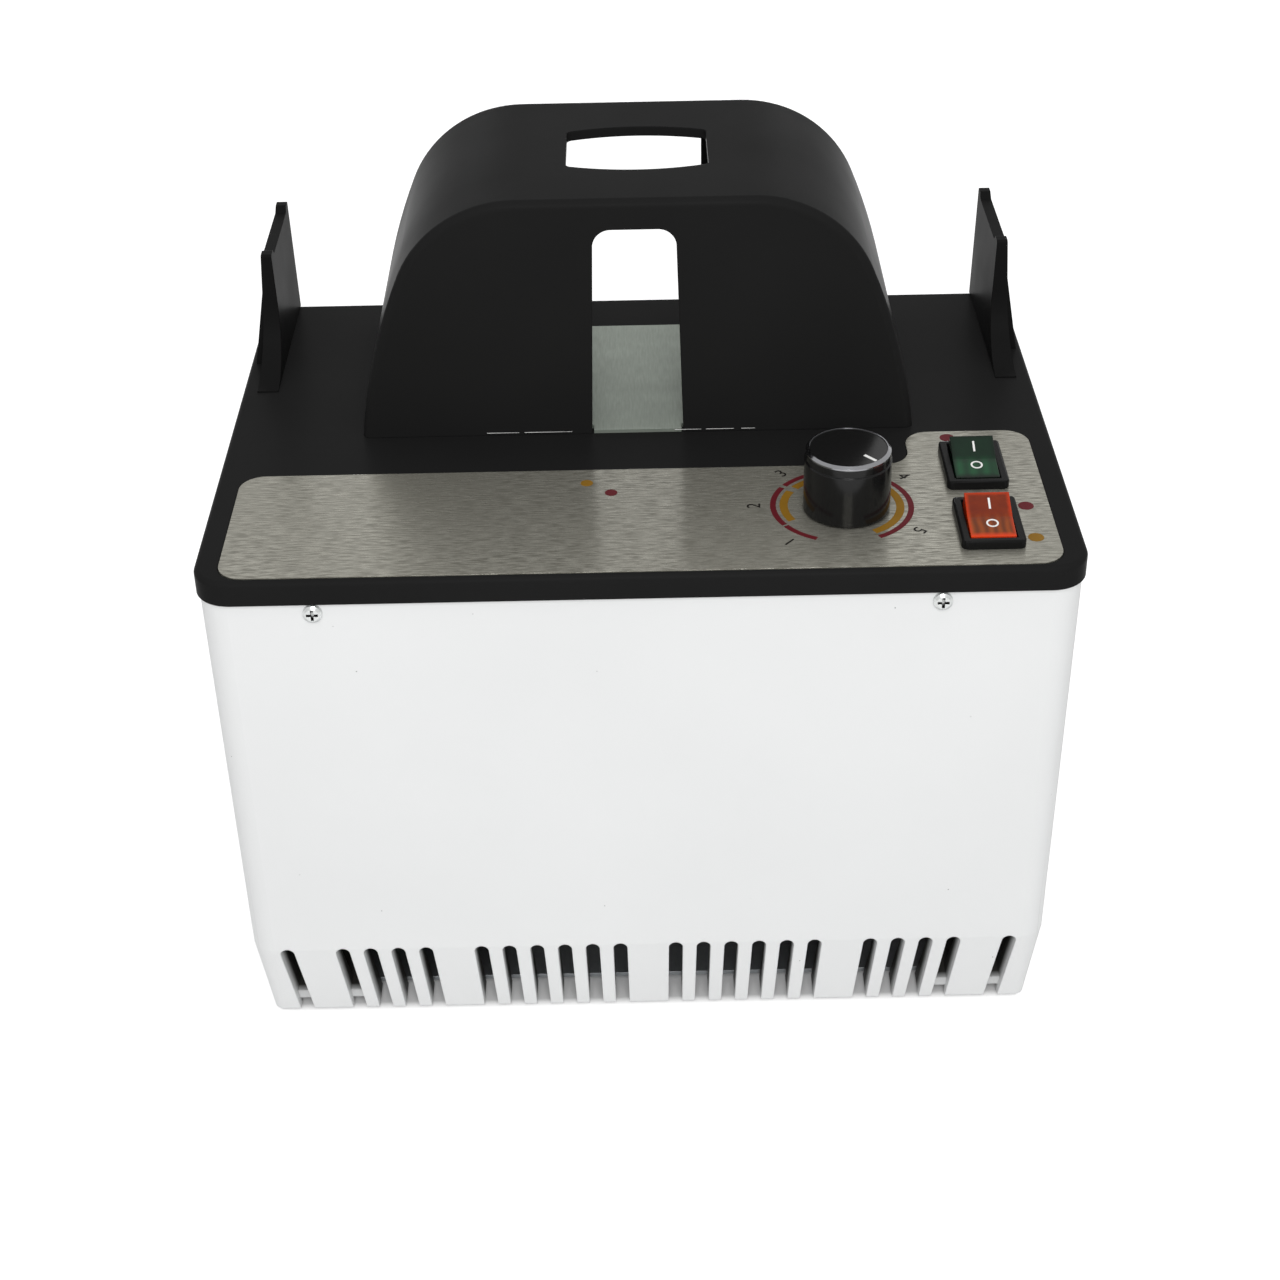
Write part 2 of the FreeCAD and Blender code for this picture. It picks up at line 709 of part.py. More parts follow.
def make_lower_housing():
    body = new_body("lower_housing")
    upper = extrude(body, "Pad", inset_section(body, "skirt_break", BREAK_INSET),
                    "%s - skirt_break" % RIM_BOTTOM)
    lean_walls(body, upper, "skirt_break", RIM_BOTTOM, "housing_draft")
    skirt = extrude(body, "Pad", inset_section(body, "skirt_break", BREAK_INSET),
                    "skirt_break - skirt_bottom", back=True)
    lean_walls(body, skirt, "skirt_bottom", "skirt_break", "skirt_inset")
    # the inside: straight walls above the fins, then the fins' faces lean in to the skirt's foot
    cavity = inset_section(body, RIM_BOTTOM, INNER_INSET, "housing_corner - housing_wall")
    extrude(body, "Pocket", cavity, "%s - %s" % (RIM_BOTTOM, FIN_TOP))
    tapered(body, "SubtractiveWedge", "skirt_bottom", FIN_TOP, BOTTOM_INSET + " + fin_depth", INNER_INSET)
    # holes for the cover screws, front and rear
    sides = sketch_on(body, "XZ_Plane")
    circle(sides, "-front_screw_left", SCREW_Z, "screw_shank + screw_fit")
    circle(sides, "front_screw_right", SCREW_Z, "screw_shank + screw_fit")
    extrude(body, "Pocket", sides, middle=True)
    # recess, cut-out and screw holes for the power inlet in the rear wall
    rear_plane = "-(%s)" % HALF_DEPTH
    recess = sketch_on(body, "XZ_Plane", rear_plane)
    half = "(inlet_flange_width / 2 + inlet_fit)"
    tall = "(inlet_flange_height / 2 + inlet_fit)"
    rounded_rect(recess, "inlet_x - " + half, "inlet_x + " + half,
                 "inlet_z - " + tall, "inlet_z + " + tall, "inlet_corner")
    extrude(body, "Pocket", recess, "%s - (%s)" % (HALF_DEPTH, INLET_SEAT), back=True)
    window = sketch_on(body, "XZ_Plane", rear_plane)
    half = "(inlet_width / 2 + inlet_fit)"
    tall = "(inlet_height / 2 + inlet_fit)"
    rect(window, "inlet_x - " + half, "inlet_x + " + half, "inlet_z - " + tall, "inlet_z + " + tall)
    circle(window, "inlet_x - inlet_screw_spacing / 2", "inlet_z", "screw_shank")
    circle(window, "inlet_x + inlet_screw_spacing / 2", "inlet_z", "screw_shank")
    extrude(body, "Pocket", window, "%s + housing_wall + cut_past" % BREAK_INSET, back=True)
    # the comb: runs of slots through both facing walls, and one slot near each corner
    for steps in FRONT_COMB:
        extrude(body, "Pocket", comb_sketch(body, "XZ_Plane", steps), middle=True)
    for steps in SIDE_COMB:
        extrude(body, "Pocket", comb_sketch(body, "YZ_Plane", steps), middle=True)
    for plane, back in ((HALF_DEPTH, False), ("-(%s)" % HALF_DEPTH, True)):
        corner_slots = comb_sketch(body, "XZ_Plane", CORNER_COMB, plane)
        extrude(body, "Pocket", corner_slots, "%s + fin_depth + cut_past" % BOTTOM_INSET, back=back)
    # corner pads that the base plate is screwed up against, each with a boss
    pads = sketch_on(body, "XY_Plane", PLATE_TOP)
    out_x = "(%s - %s - pad_setback)" % (HALF_WIDTH, BOTTOM_INSET)
    out_y = "(%s - %s - pad_setback)" % (HALF_DEPTH, BOTTOM_INSET)
    bosses = sketch_on(body, "XY_Plane", "%s + corner_pad_thick" % PLATE_TOP)
    holes = sketch_on(body, "XY_Plane", "%s + corner_pad_thick + corner_boss_rise" % PLATE_TOP)
    for sx, sy in CORNERS:
        rect(pads, "%s(%s - corner_pad)" % (sx, out_x), sx + out_x,
             "%s(%s - corner_pad)" % (sy, out_y), sy + out_y)
        circle(bosses, sx + FOOT_X, sy + FOOT_Y, "corner_boss_radius")
        circle(holes, sx + FOOT_X, sy + FOOT_Y, "screw_shank")
    extrude(body, "Pad", pads, "corner_pad_thick")
    extrude(body, "Pad", bosses, "corner_boss_rise")
    extrude(body, "Pocket", holes, "corner_boss_rise + corner_pad_thick + cut_past")


# ---- base plate, feet and screws ----------------------------------------------------------

def make_base_plate():
    body = new_body("base_plate")
    outline = inset_section(body, PLATE_BOTTOM, BOTTOM_INSET + " + fin_depth + plate_gap",
                            "housing_corner - housing_wall")
    extrude(body, "Pad", outline, "plate_thick")
    holes = sketch_on(body, "XY_Plane")
    for sx, sy in CORNERS:
        circle(holes, sx + FOOT_X, sy + FOOT_Y, "screw_shank + 2 * screw_fit")
    extrude(body, "Pocket", holes, back=True)
    intake = sketch_on(body, "XY_Plane")
    first = "(-intake_pitch * %d / 2)" % (INTAKE_SLOTS - 1)
    rect(intake, first + " - intake_slot / 2", first + " + intake_slot / 2",
         "fan_y - intake_length / 2", "fan_y + intake_length / 2")
    slot = extrude(body, "Pocket", intake, back=True)
    row_of(body, slot, (intake, ["H_Axis"]), "intake_pitch", INTAKE_SLOTS)


def screw(name, x, y, z, turn, length):
    """A pan-head screw; its head stands on the +Z side before the turn about X."""
    head = cylinder(name + "_head", "0", "0", "0", "screw_head_rise - screw_crown", "screw_head")
    crown = doc.addObject("Part::Cone", name + "_crown")
    bind(crown, "Radius1", "screw_head")
    bind(crown, "Radius2", "screw_crown_radius")
    bind(crown, "Height", "screw_crown")
    bind(crown, "Placement.Base.z", "screw_head_rise - screw_crown")
    shank = cylinder(name + "_shank", "0", "0", "-(%s)" % length, "0", "screw_shank")
    half, arm = "screw_cross / 2", "screw_cross_half"
    cross = [box(name + "_slot", "-" + a, a, "-" + b, b, "screw_head_rise - screw_cross_depth",
                 "screw_head_rise + cut_past")
             for a, b in ((half, arm), (arm, half))]
    item = cut(name, fuse(name + "_solid", [head, crown, shank]), fuse(name + "_cross", cross))
    item.Placement = Placement(Vector(), Rotation(Vector(1, 0, 0), turn))
    for axis, text in (("x", x), ("y", y), ("z", z)):
        bind(item, "Placement.Base." + axis, text)
    return item


def make_feet():
    feet, screws = [], []
    for index, (sx, sy) in enumerate(CORNERS):
        x, y = sx + FOOT_X, sy + FOOT_Y
        name = "foot_%d" % index
        pad = cylinder(name + "_pad", x, y, "0", PLATE_BOTTOM, "foot_radius")
        well = cylinder(name + "_well", x, y, "-cut_past", PLATE_BOTTOM + " - foot_seat", "foot_bore")
        hole = cylinder(name + "_hole", x, y, "0", PLATE_BOTTOM + " + cut_past",
                        "screw_shank + 2 * screw_fit")
        feet.append(cut(name, pad, fuse(name + "_bore", [well, hole])))
        depth = "foot_seat + plate_thick + corner_pad_thick + corner_boss_rise - screw_end_gap"
        screws.append(screw("base_screw_%d" % index, x, y, PLATE_BOTTOM + " - foot_seat", 180, depth))
    group("rubber_feet", feet)
    group("base_screws", screws)


# ---- top cover ----------------------------------------------------------------------------

def panel_outline(sketch, margin):
    """The control panel's outline, wider by a margin: an L with a step behind the switches."""
    left, right = "-(panel_half + %s)" % margin, "panel_half + %s" % margin
    front, rear = "panel_front - %s" % margin, "panel_rear + %s" % margin
    step, raised = "panel_step_x - %s" % margin, "panel_raised + %s" % margin
    rounded_outline(sketch,
                    [(left, front), (right, front), (right, raised),
                     (step, raised), (step, rear), (left, rear)],
                    ["panel_corner"] * 6)


def control_holes(sketch, margin):
    """Holes for the knob's bushing and for the bodies of the two rocker switches."""
    circle(sketch, "knob_x", "knob_y", "bushing_radius + bushing_hole_fit")
    half_x = "(switch_body_width / 2 + %s)" % margin
    half_y = "(switch_body_length / 2 + %s)" % margin
    for y in ("power_switch_y", "temperature_switch_y"):
        rect(sketch, "switch_x - " + half_x, "switch_x + " + half_x, y + " - " + half_y, y + " + " + half_y)


def cradle_tabs():
    """The start of each cradle tab along Y."""
    return ("cradle_base_front + tab_inset", "cradle_rear - tab_inset - tab_length")


def make_top_cover():
    body = new_body("top_cover")
    tray = extrude(body, "Pad", inset_section(body, RIM_BOTTOM, "0", "cover_corner"), "rim_height")
    top = value("cover_top")
    round_edges(body, tray, "Fillet", "rim_round", lambda edge: at_height(edge, top))
    under = inset_section(body, RIM_BOTTOM, "rim_wall", "cover_corner - rim_wall")
    extrude(body, "Pocket", under, "rim_height - cover_sheet", back=True)
    recess = sketch_on(body, "XY_Plane", "cover_top")
    panel_outline(recess, "panel_fit")
    extrude(body, "Pocket", recess, "panel_recess")
    controls = sketch_on(body, "XY_Plane", "cover_top")
    control_holes(controls, "switch_hole_fit")
    extrude(body, "Pocket", controls, "cover_sheet + cut_past")
    # the two duct openings under the hood, and the holes for the hood's screws
    openings = sketch_on(body, "XY_Plane", "cover_top")
    for near, far in (("", ""), ("-", "-")):
        rect(openings, near + "(channel_half + duct_opening_inset)", far + "(duct_foot - duct_opening_inset)",
             DUCT_FRONT + " + duct_opening_inset", DUCT_REAR + " - duct_opening_inset")
    for sx in ("", "-"):
        for y in HOOD_BOSS_Y:
            circle(openings, sx + "hood_boss_x", y, "screw_shank + 2 * screw_fit")
    extrude(body, "Pocket", openings, "cover_sheet + cut_past")
    # slots that the cradles' tabs pass through
    slots = sketch_on(body, "XY_Plane", "cover_top")
    for sx in ("", "-"):
        for start in cradle_tabs():
            rect(slots, sx + "(tab_inner - tab_fit)", sx + "(tab_outer + tab_fit)",
                 start + " - tab_fit", start + " + tab_length + tab_fit")
    extrude(body, "Pocket", slots, "cover_sheet + cut_past")
    # four tabs that hang inside the housing's front and rear walls, and take the cover screws
    tabs = sketch_on(body, "XY_Plane", COVER_UNDER)
    wall = "(%s - %s - tab_gap)" % (HALF_DEPTH, INNER_INSET)
    for x in ("-front_screw_left", "front_screw_right"):
        for sy in ("", "-"):
            rect(tabs, x + " - cover_tab_width / 2", x + " + cover_tab_width / 2",
                 "%s(%s - cover_tab_depth)" % (sy, wall), sy + wall)
    extrude(body, "Pad", tabs, "cover_tab_length", back=True)
    threads = sketch_on(body, "XZ_Plane")
    for x in ("-front_screw_left", "front_screw_right"):
        circle(threads, x, SCREW_Z, "screw_shank")
    extrude(body, "Pocket", threads, middle=True)


def make_cover_screws():
    # the wall leans, so each head's upper edge is what touches it
    lean = "housing_draft * (front_screw_drop - screw_head) / (%s - skirt_break)" % RIM_BOTTOM
    wall_face = "(%s - housing_inset - %s)" % (HALF_DEPTH, lean)
    screws = []
    for side, x in (("left", "-front_screw_left"), ("right", "front_screw_right")):
        for sy, turn in (("-", 90), ("", -90)):
            name = "cover_screw_%s%d" % (side, len(screws))
            screws.append(screw(name, x, sy + wall_face, SCREW_Z, turn, "housing_wall + cover_tab_depth"))
    group("cover_screws", screws)


# ---- hood ---------------------------------------------------------------------------------

def arch_outline(sketch, inset):
    """The hood's arch: level roof, a corner arc on each side and a wider arc down to the foot."""
    half, low, top = value("hood_half") - inset, value("cover_top"), value(HOOD_TOP) - inset
    flat, corner, side = value("hood_flat"), value("hood_corner") - inset, value("hood_side_radius") - inset
    near = Vector(flat, top - corner, 0)
    foot = Vector(half, low, 0)
    # the side arc's centre lies side - corner from the corner's centre and side from the foot
    span = foot - near
    along = ((side - corner) ** 2 - side ** 2 + span.Length ** 2) / (2 * span.Length)
    across = math.sqrt((side - corner) ** 2 - along ** 2)
    ahead = Vector(span).normalize()
    far = near + ahead * along + Vector(ahead.y, -ahead.x, 0) * across
    reach = Vector(near - far).normalize()
    turn = math.atan2(reach.y, reach.x)
    start = math.atan2(foot.y - far.y, foot.x - far.x)
    up = Vector(0, 0, 1)

    def mirror(point):
        return Vector(-point.x, point.y, 0)

    curves = [
        Part.ArcOfCircle(Part.Circle(far, up, side), start, turn),
        Part.ArcOfCircle(Part.Circle(near, up, corner), turn, math.pi / 2),
        Part.LineSegment(Vector(flat, top, 0), Vector(-flat, top, 0)),
        Part.ArcOfCircle(Part.Circle(mirror(near), up, corner), math.pi / 2, math.pi - turn),
        Part.ArcOfCircle(Part.Circle(mirror(far), up, side), math.pi - turn, math.pi - start),
        Part.LineSegment(mirror(foot), foot)]
    return curves


def arch_sketch(body, offset, inset_text):
    sketch = sketch_on(body, "XZ_Plane", offset)
    for curve in arch_outline(sketch, value(inset_text)):
        sketch.addGeometry(curve, False)
    for i in range(4):
        sketch.addConstraint(Sketcher.Constraint("Tangent", i, 2, i + 1, 1))
    sketch.addConstraint(Sketcher.Constraint("Coincident", 4, 2, 5, 1))
    sketch.addConstraint(Sketcher.Constraint("Coincident", 5, 2, 0, 1))
    for index, radius in ((0, "hood_side_radius"), (1, "hood_corner"), (3, "hood_corner"),
                          (4, "hood_side_radius")):
        text = "%s - (%s)" % (radius, inset_text)
        number = sketch.addConstraint(Sketcher.Constraint("Radius", index, value(text)))
        bind(sketch, "Constraints[%d]" % number, text)
    roof = "%s - (%s)" % (HOOD_TOP, inset_text)
    fix_point(sketch, 2, 1, "hood_flat", roof)
    fix_point(sketch, 2, 2, "-hood_flat", roof)
    fix_point(sketch, 5, 1, "-(hood_half - (%s))" % inset_text, "cover_top")
    fix_point(sketch, 5, 2, "hood_half - (%s)" % inset_text, "cover_top")
    return sketch


def barrel_outline(sketch, x_middle, x_half, y_middle, y_half, bow):
    """A rectangle whose two long edges bow outward by a set amount."""
    left, right = "%s - (%s)" % (x_middle, x_half), "%s + (%s)" % (x_middle, x_half)
    low, high = "%s - (%s)" % (y_middle, y_half), "%s + (%s)" % (y_middle, y_half)
    x0, x1, y0, y1 = value(left), value(right), value(low), value(high)
    corners = [Vector(x0, y0, 0), Vector(x1, y0, 0), Vector(x1, y1, 0), Vector(x0, y1, 0)]
    near, far = Vector(value(x_middle), y0 - value(bow), 0), Vector(value(x_middle), y1 + value(bow), 0)
    sketch.addGeometry(Part.Arc(corners[0], near, corners[1]), False)
    sketch.addGeometry(Part.LineSegment(corners[1], corners[2]), False)
    sketch.addGeometry(Part.Arc(corners[2], far, corners[3]), False)
    sketch.addGeometry(Part.LineSegment(corners[3], corners[0]), False)
    for i in range(4):
        sketch.addConstraint(Sketcher.Constraint("Coincident", i, 2, (i + 1) % 4, 1))
    fix_point(sketch, 1, 1, right, low)
    fix_point(sketch, 1, 2, right, high)
    fix_point(sketch, 3, 1, left, high)
    fix_point(sketch, 3, 2, left, low)
    radius = "((%s) ^ 2 + (%s) ^ 2) / (2 * (%s))" % (x_half, bow, bow)
    for arc in (0, 2):
        number = sketch.addConstraint(Sketcher.Constraint("Radius", arc, value(radius)))
        bind(sketch, "Constraints[%d]" % number, radius)


def make_air_hood():
    body = new_body("air_hood")
    depth = "(hood_rear - hood_front)"
    solid = extrude(body, "Pad", arch_sketch(body, "-hood_rear", "0"), depth)
    front, rear, base = value("hood_front"), value("hood_rear"), value("cover_top")

    def arch_edge(edge):
        limits = edge.BoundBox
        flat = min(abs(limits.YMin - face) + abs(limits.YMax - face) for face in (front, rear)) < 0.01
        return flat and limits.ZMax > base + 1

    round_edges(body, solid, "Fillet", "hood_edge", arch_edge)
    hollow = arch_sketch(body, "-(hood_front + hood_wall)", "hood_wall")
    extrude(body, "Pocket", hollow, depth + " - 2 * hood_wall")
    # the front slot narrows upward and has rounded upper corners
    mouth = sketch_on(body, "XZ_Plane", "-hood_front")
    low, high = "cover_top - cut_past", "cover_top + slot_height"
    polygon(mouth, [("-front_slot_base / 2", low), ("front_slot_base / 2", low),
                    ("front_slot_top / 2", high), ("-front_slot_top / 2", high)])
    slot = extrude(body, "Pocket", mouth, "hood_wall + cut_past / 2")
    slot_top = value(high)
    wall = value("hood_front + hood_wall")

    def slot_corner(edge):
        limits = edge.BoundBox
        return at_height(edge, slot_top) and limits.XLength < 0.01 and limits.YMax < wall + 0.01

    round_edges(body, slot, "Fillet", "front_slot_corner", slot_corner)
    exit_slot = sketch_on(body, "XZ_Plane", "-hood_rear")
    rect(exit_slot, "-channel_half", "channel_half", low, high)
    extrude(body, "Pocket", exit_slot, "hood_wall + cut_past / 2", back=True)
    roof = sketch_on(body, "XY_Plane", HOOD_TOP)
    barrel_outline(roof, "top_hole_shift", "top_hole_half_x", CHANNEL_Y, "top_hole_half_y", "top_hole_bow")
    hole = extrude(body, "Pocket", roof, "hood_wall + cut_past / 2")
    ceiling = value(HOOD_TOP + " - hood_wall")

    def hole_corner(edge):
        limits = edge.BoundBox
        return limits.ZMin > ceiling - 0.01 and limits.XLength + limits.YLength < 0.01

    round_edges(body, hole, "Fillet", "top_hole_corner", hole_corner)
    bosses = sketch_on(body, "XY_Plane", "cover_top")
    holes = sketch_on(body, "XY_Plane", "cover_top")
    for sx in ("", "-"):
        for y in HOOD_BOSS_Y:
            circle(bosses, sx + "hood_boss_x", y, "hood_boss_radius")
            circle(holes, sx + "hood_boss_x", y, "screw_shank")
    extrude(body, "Pad", bosses, "hood_boss_height")
    extrude(body, "Pocket", holes, "hood_boss_height - hood_boss_floor", back=True)


def make_hood_screws():
    screws = []
    for sx in ("", "-"):
        for y in HOOD_BOSS_Y:
            name = "hood_screw_%d" % len(screws)
            screws.append(screw(name, sx + "hood_boss_x", y, COVER_UNDER, 180,
                                "cover_sheet + hood_boss_height - hood_boss_floor - screw_end_gap"))
    group("hood_screws", screws)


# ---- channel floor, air ducts and portal grilles ------------------------------------------

def make_channel_floor():
    body = new_body("channel_floor_plate")
    outline = sketch_on(body, "XY_Plane", "cover_top")
    wide, slim = "(channel_half - floor_gap)", "(front_slot_base / 2 - floor_gap)"
    tip, front = "hood_front + floor_tongue_gap", "hood_front + hood_wall + floor_gap"
    rear = "hood_rear - hood_wall - floor_rear_gap"
    polygon(outline, [("-" + slim, tip), (slim, tip), (slim, front), (wide, front),
                      (wide, rear), ("-" + wide, rear), ("-" + wide, front), ("-" + slim, front)])
    extrude(body, "Pad", outline, "floor_thick")


def make_air_duct(label, side, toward_plus):
    """A sheet box between the channel and the hood's side, open below, with a portal window."""
    body = new_body(label)
    shoulder = "(cover_top + duct_shoulder)"
    shelf = "(channel_half + duct_top_width)"
    top = "(cover_top + duct_height)"
    lean = "atan((duct_foot - %s) / (duct_height - duct_shoulder))" % shelf
    outer = sketch_on(body, "XZ_Plane", "-" + DUCT_REAR)
    polygon(outer, [(side + "channel_half", "cover_top"), (side + "duct_foot", "cover_top"),
                    (side + "duct_foot", shoulder), (side + shelf, top), (side + "channel_half", top)])
    extrude(body, "Pad", outer, "%s - %s" % (DUCT_REAR, DUCT_FRONT))
    inner = sketch_on(body, "XZ_Plane", "-(%s + duct_sheet)" % DUCT_FRONT)
    near, far = "(channel_half + duct_sheet)", "(duct_foot - duct_sheet)"
    polygon(inner, [(side + near, "cover_top - cut_past"), (side + far, "cover_top - cut_past"),
                    (side + far, "%s - duct_sheet * tan(%s / 2)" % (shoulder, lean)),
                    ("%s(%s - duct_sheet * tan((90 deg - %s) / 2))" % (side, shelf, lean),
                     top + " - duct_sheet"),
                    (side + near, top + " - duct_sheet")])
    extrude(body, "Pocket", inner, "%s - %s - 2 * duct_sheet" % (DUCT_REAR, DUCT_FRONT))
    window = sketch_on(body, "YZ_Plane", side + "channel_half")
    rect(window, CHANNEL_Y + " - portal_half_y", CHANNEL_Y + " + portal_half_y",
         "cover_top + portal_low", "cover_top + portal_high")
    extrude(body, "Pocket", window, "duct_sheet + cut_past / 2", back=toward_plus)


def make_portal_grille(label, side, toward_plus):
    """A thin plate over the portal window, with a row of upright slots."""
    body = new_body(label)
    plate = sketch_on(body, "YZ_Plane", side + "channel_half")
    rect(plate, CHANNEL_Y + " - portal_half_y - grille_lip", CHANNEL_Y + " + portal_half_y + grille_lip",
         "cover_top + portal_low - grille_lip", "cover_top + portal_high + grille_lip")
    extrude(body, "Pad", plate, "grille_sheet", back=toward_plus)
    slots = sketch_on(body, "YZ_Plane", side + "channel_half")
    first = "(%s - grille_pitch * %d / 2)" % (CHANNEL_Y, GRILLE_SLOTS - 1)
    rect(slots, first + " - grille_slot / 2", first + " + grille_slot / 2",
         "cover_top + portal_low + grille_end", "cover_top + portal_high - grille_end")
    slot = extrude(body, "Pocket", slots, "grille_sheet + cut_past / 2", back=not toward_plus)
    row_of(body, slot, (slots, ["H_Axis"]), "grille_pitch", GRILLE_SLOTS)


# ---- cradles ------------------------------------------------------------------------------

def make_cradle(label, side, toward_plus):
    """An upright rest at the box's side: concave front flare, two horns and a saddle between."""
    body = new_body(label)
    profile = sketch_on(body, "YZ_Plane", side + "cradle_inner")
    top, saddle = "(cover_top + cradle_height)", "(cover_top + cradle_height - cradle_saddle)"
    toe = "(cover_top + cradle_toe)"
    rise = "(%s + cradle_flare)" % toe
    front, base_front, rear = "cradle_top_front", "cradle_base_front", "cradle_rear"
    run = "(cradle_horn + cradle_saddle)"
    points = [(base_front, toe), (base_front, "cover_top"), (rear, "cover_top"), (rear, top),
              (rear + " - cradle_horn", top), (rear + " - " + run, saddle),
              (front + " + " + run, saddle), (front + " + cradle_horn", top), (front, top), (front, rise)]
    corners = [Vector(value(x), value(y), 0) for x, y in points]
    last = len(points) - 1
    for i in range(last):
        profile.addGeometry(Part.LineSegment(corners[i], corners[i + 1]), False)
    radius = value("cradle_flare")
    centre = Vector(corners[last].x - radius, corners[last].y, 0)
    flare = Part.ArcOfCircle(Part.Circle(centre, Vector(0, 0, 1), radius), -math.pi / 2, 0)
    profile.addGeometry(flare, False)
    for i in range(last - 1):
        profile.addConstraint(Sketcher.Constraint("Coincident", i, 2, i + 1, 1))
    profile.addConstraint(Sketcher.Constraint("Tangent", last - 1, 2, last, 2))
    profile.addConstraint(Sketcher.Constraint("Coincident", last, 1, 0, 1))
    for i in range(last):
        fix_point(profile, i, 1, *points[i])
    fix_point(profile, last - 1, 2, *points[last])
    extrude(body, "Pad", profile, "cradle_thick", back=not toward_plus)
    # both faces lean outward at the base, so the plate is thinnest at its horns
    foot_in, foot_out = "cradle_inner", "(cradle_inner + cradle_thick)"
    head_in, head_out = "(cradle_inner + cradle_lean)", "(cradle_inner + cradle_lean + cradle_top_thick)"
    above = top + " + cut_past"
    for foot, head, past in ((foot_in, head_in, " - cut_past"), (foot_out, head_out, " + cut_past")):
        wedge = sketch_on(body, "XZ_Plane")
        corners = [(foot, "cover_top"), (head, top), (head, above),
                   (foot + past, above), (foot + past, "cover_top")]
        polygon(wedge, [("%s(%s)" % (side, x), z) for x, z in corners])
        leaned = extrude(body, "Pocket", wedge, middle=True)
    height = value(top)
    round_edges(body, leaned, "Fillet", "cradle_horn_round",
                lambda edge: at_height(edge, height) and edge.BoundBox.YLength < 0.01)
    # a three-cornered rib on the outer face, and two tabs that pass down through the cover
    rib = sketch_on(body, "XZ_Plane", "-(gusset_y + gusset_thick / 2)")
    apex = "(%s - (%s - %s) * gusset_height / cradle_height)" % (foot_out, foot_out, head_out)
    peak = "cover_top + gusset_height"
    corners = [(apex + " - rib_root", "cover_top"), (foot_out + " + gusset_width", "cover_top"),
               (apex, peak), (apex + " - rib_root", peak)]
    polygon(rib, [("%s(%s)" % (side, x), z) for x, z in corners])
    extrude(body, "Pad", rib, "gusset_thick")
    tabs = sketch_on(body, "XY_Plane", "cover_top")
    for start in cradle_tabs():
        rect(tabs, side + "tab_inner", side + "tab_outer", start, start + " + tab_length")
    extrude(body, "Pad", tabs, "tab_reach", back=True)


# ---- control panel, knob and potentiometer ------------------------------------------------

def make_control_panel():
    body = new_body("control_panel")
    outline = sketch_on(body, "XY_Plane", "cover_top - panel_recess")
    panel_outline(outline, "0")
    extrude(body, "Pad", outline, "panel_sheet")
    holes = sketch_on(body, "XY_Plane", PANEL_TOP)
    control_holes(holes, "switch_hole_fit")
    extrude(body, "Pocket", holes, "panel_sheet + cut_past")


def turned(label, points):
    """A body at the knob's axis, turned from a profile of radii and heights."""
    body = new_body(label, ("knob_x", "knob_y", "0"))
    profile = sketch_on(body, "XZ_Plane")
    polygon(profile, points)
    revolve(body, profile)
    return body


def make_potentiometer():
    pot_bottom = "(%s - pot_depth)" % COVER_UNDER
    bushing_top = "(%s + bushing_rise)" % PANEL_TOP
    bore = "(shaft_radius + shaft_fit)"
    pit = "(%s + pot_floor)" % pot_bottom
    turned("potentiometer_body", [
        ("0", pot_bottom), ("pot_radius", pot_bottom), ("pot_radius", COVER_UNDER),
        ("bushing_radius", COVER_UNDER), ("bushing_radius", bushing_top),
        (bore, bushing_top), (bore, pit), ("0", pit)])
    shaft = cylinder("potentiometer_shaft", "knob_x", "knob_y", pit + " + shaft_end_gap",
                     pit + " + shaft_end_gap + shaft_length", "shaft_radius")
    keep(shaft, "potentiometer_shaft")
    nut = doc.addObject("Part::Prism", "nut_hexagon")
    nut.Polygon = 6
    bind(nut, "Circumradius", "nut_flats / 2 / cos(30 deg)")
    bind(nut, "Height", "nut_thick")
    for axis, text in (("x", "knob_x"), ("y", "knob_y"), ("z", PANEL_TOP)):
        bind(nut, "Placement.Base." + axis, text)
    bore = cylinder("nut_bore", "knob_x", "knob_y", PANEL_TOP + " - cut_past",
                    PANEL_TOP + " + nut_thick + cut_past", "bushing_radius")
    keep(cut("potentiometer_nut", nut, bore), "potentiometer_nut")


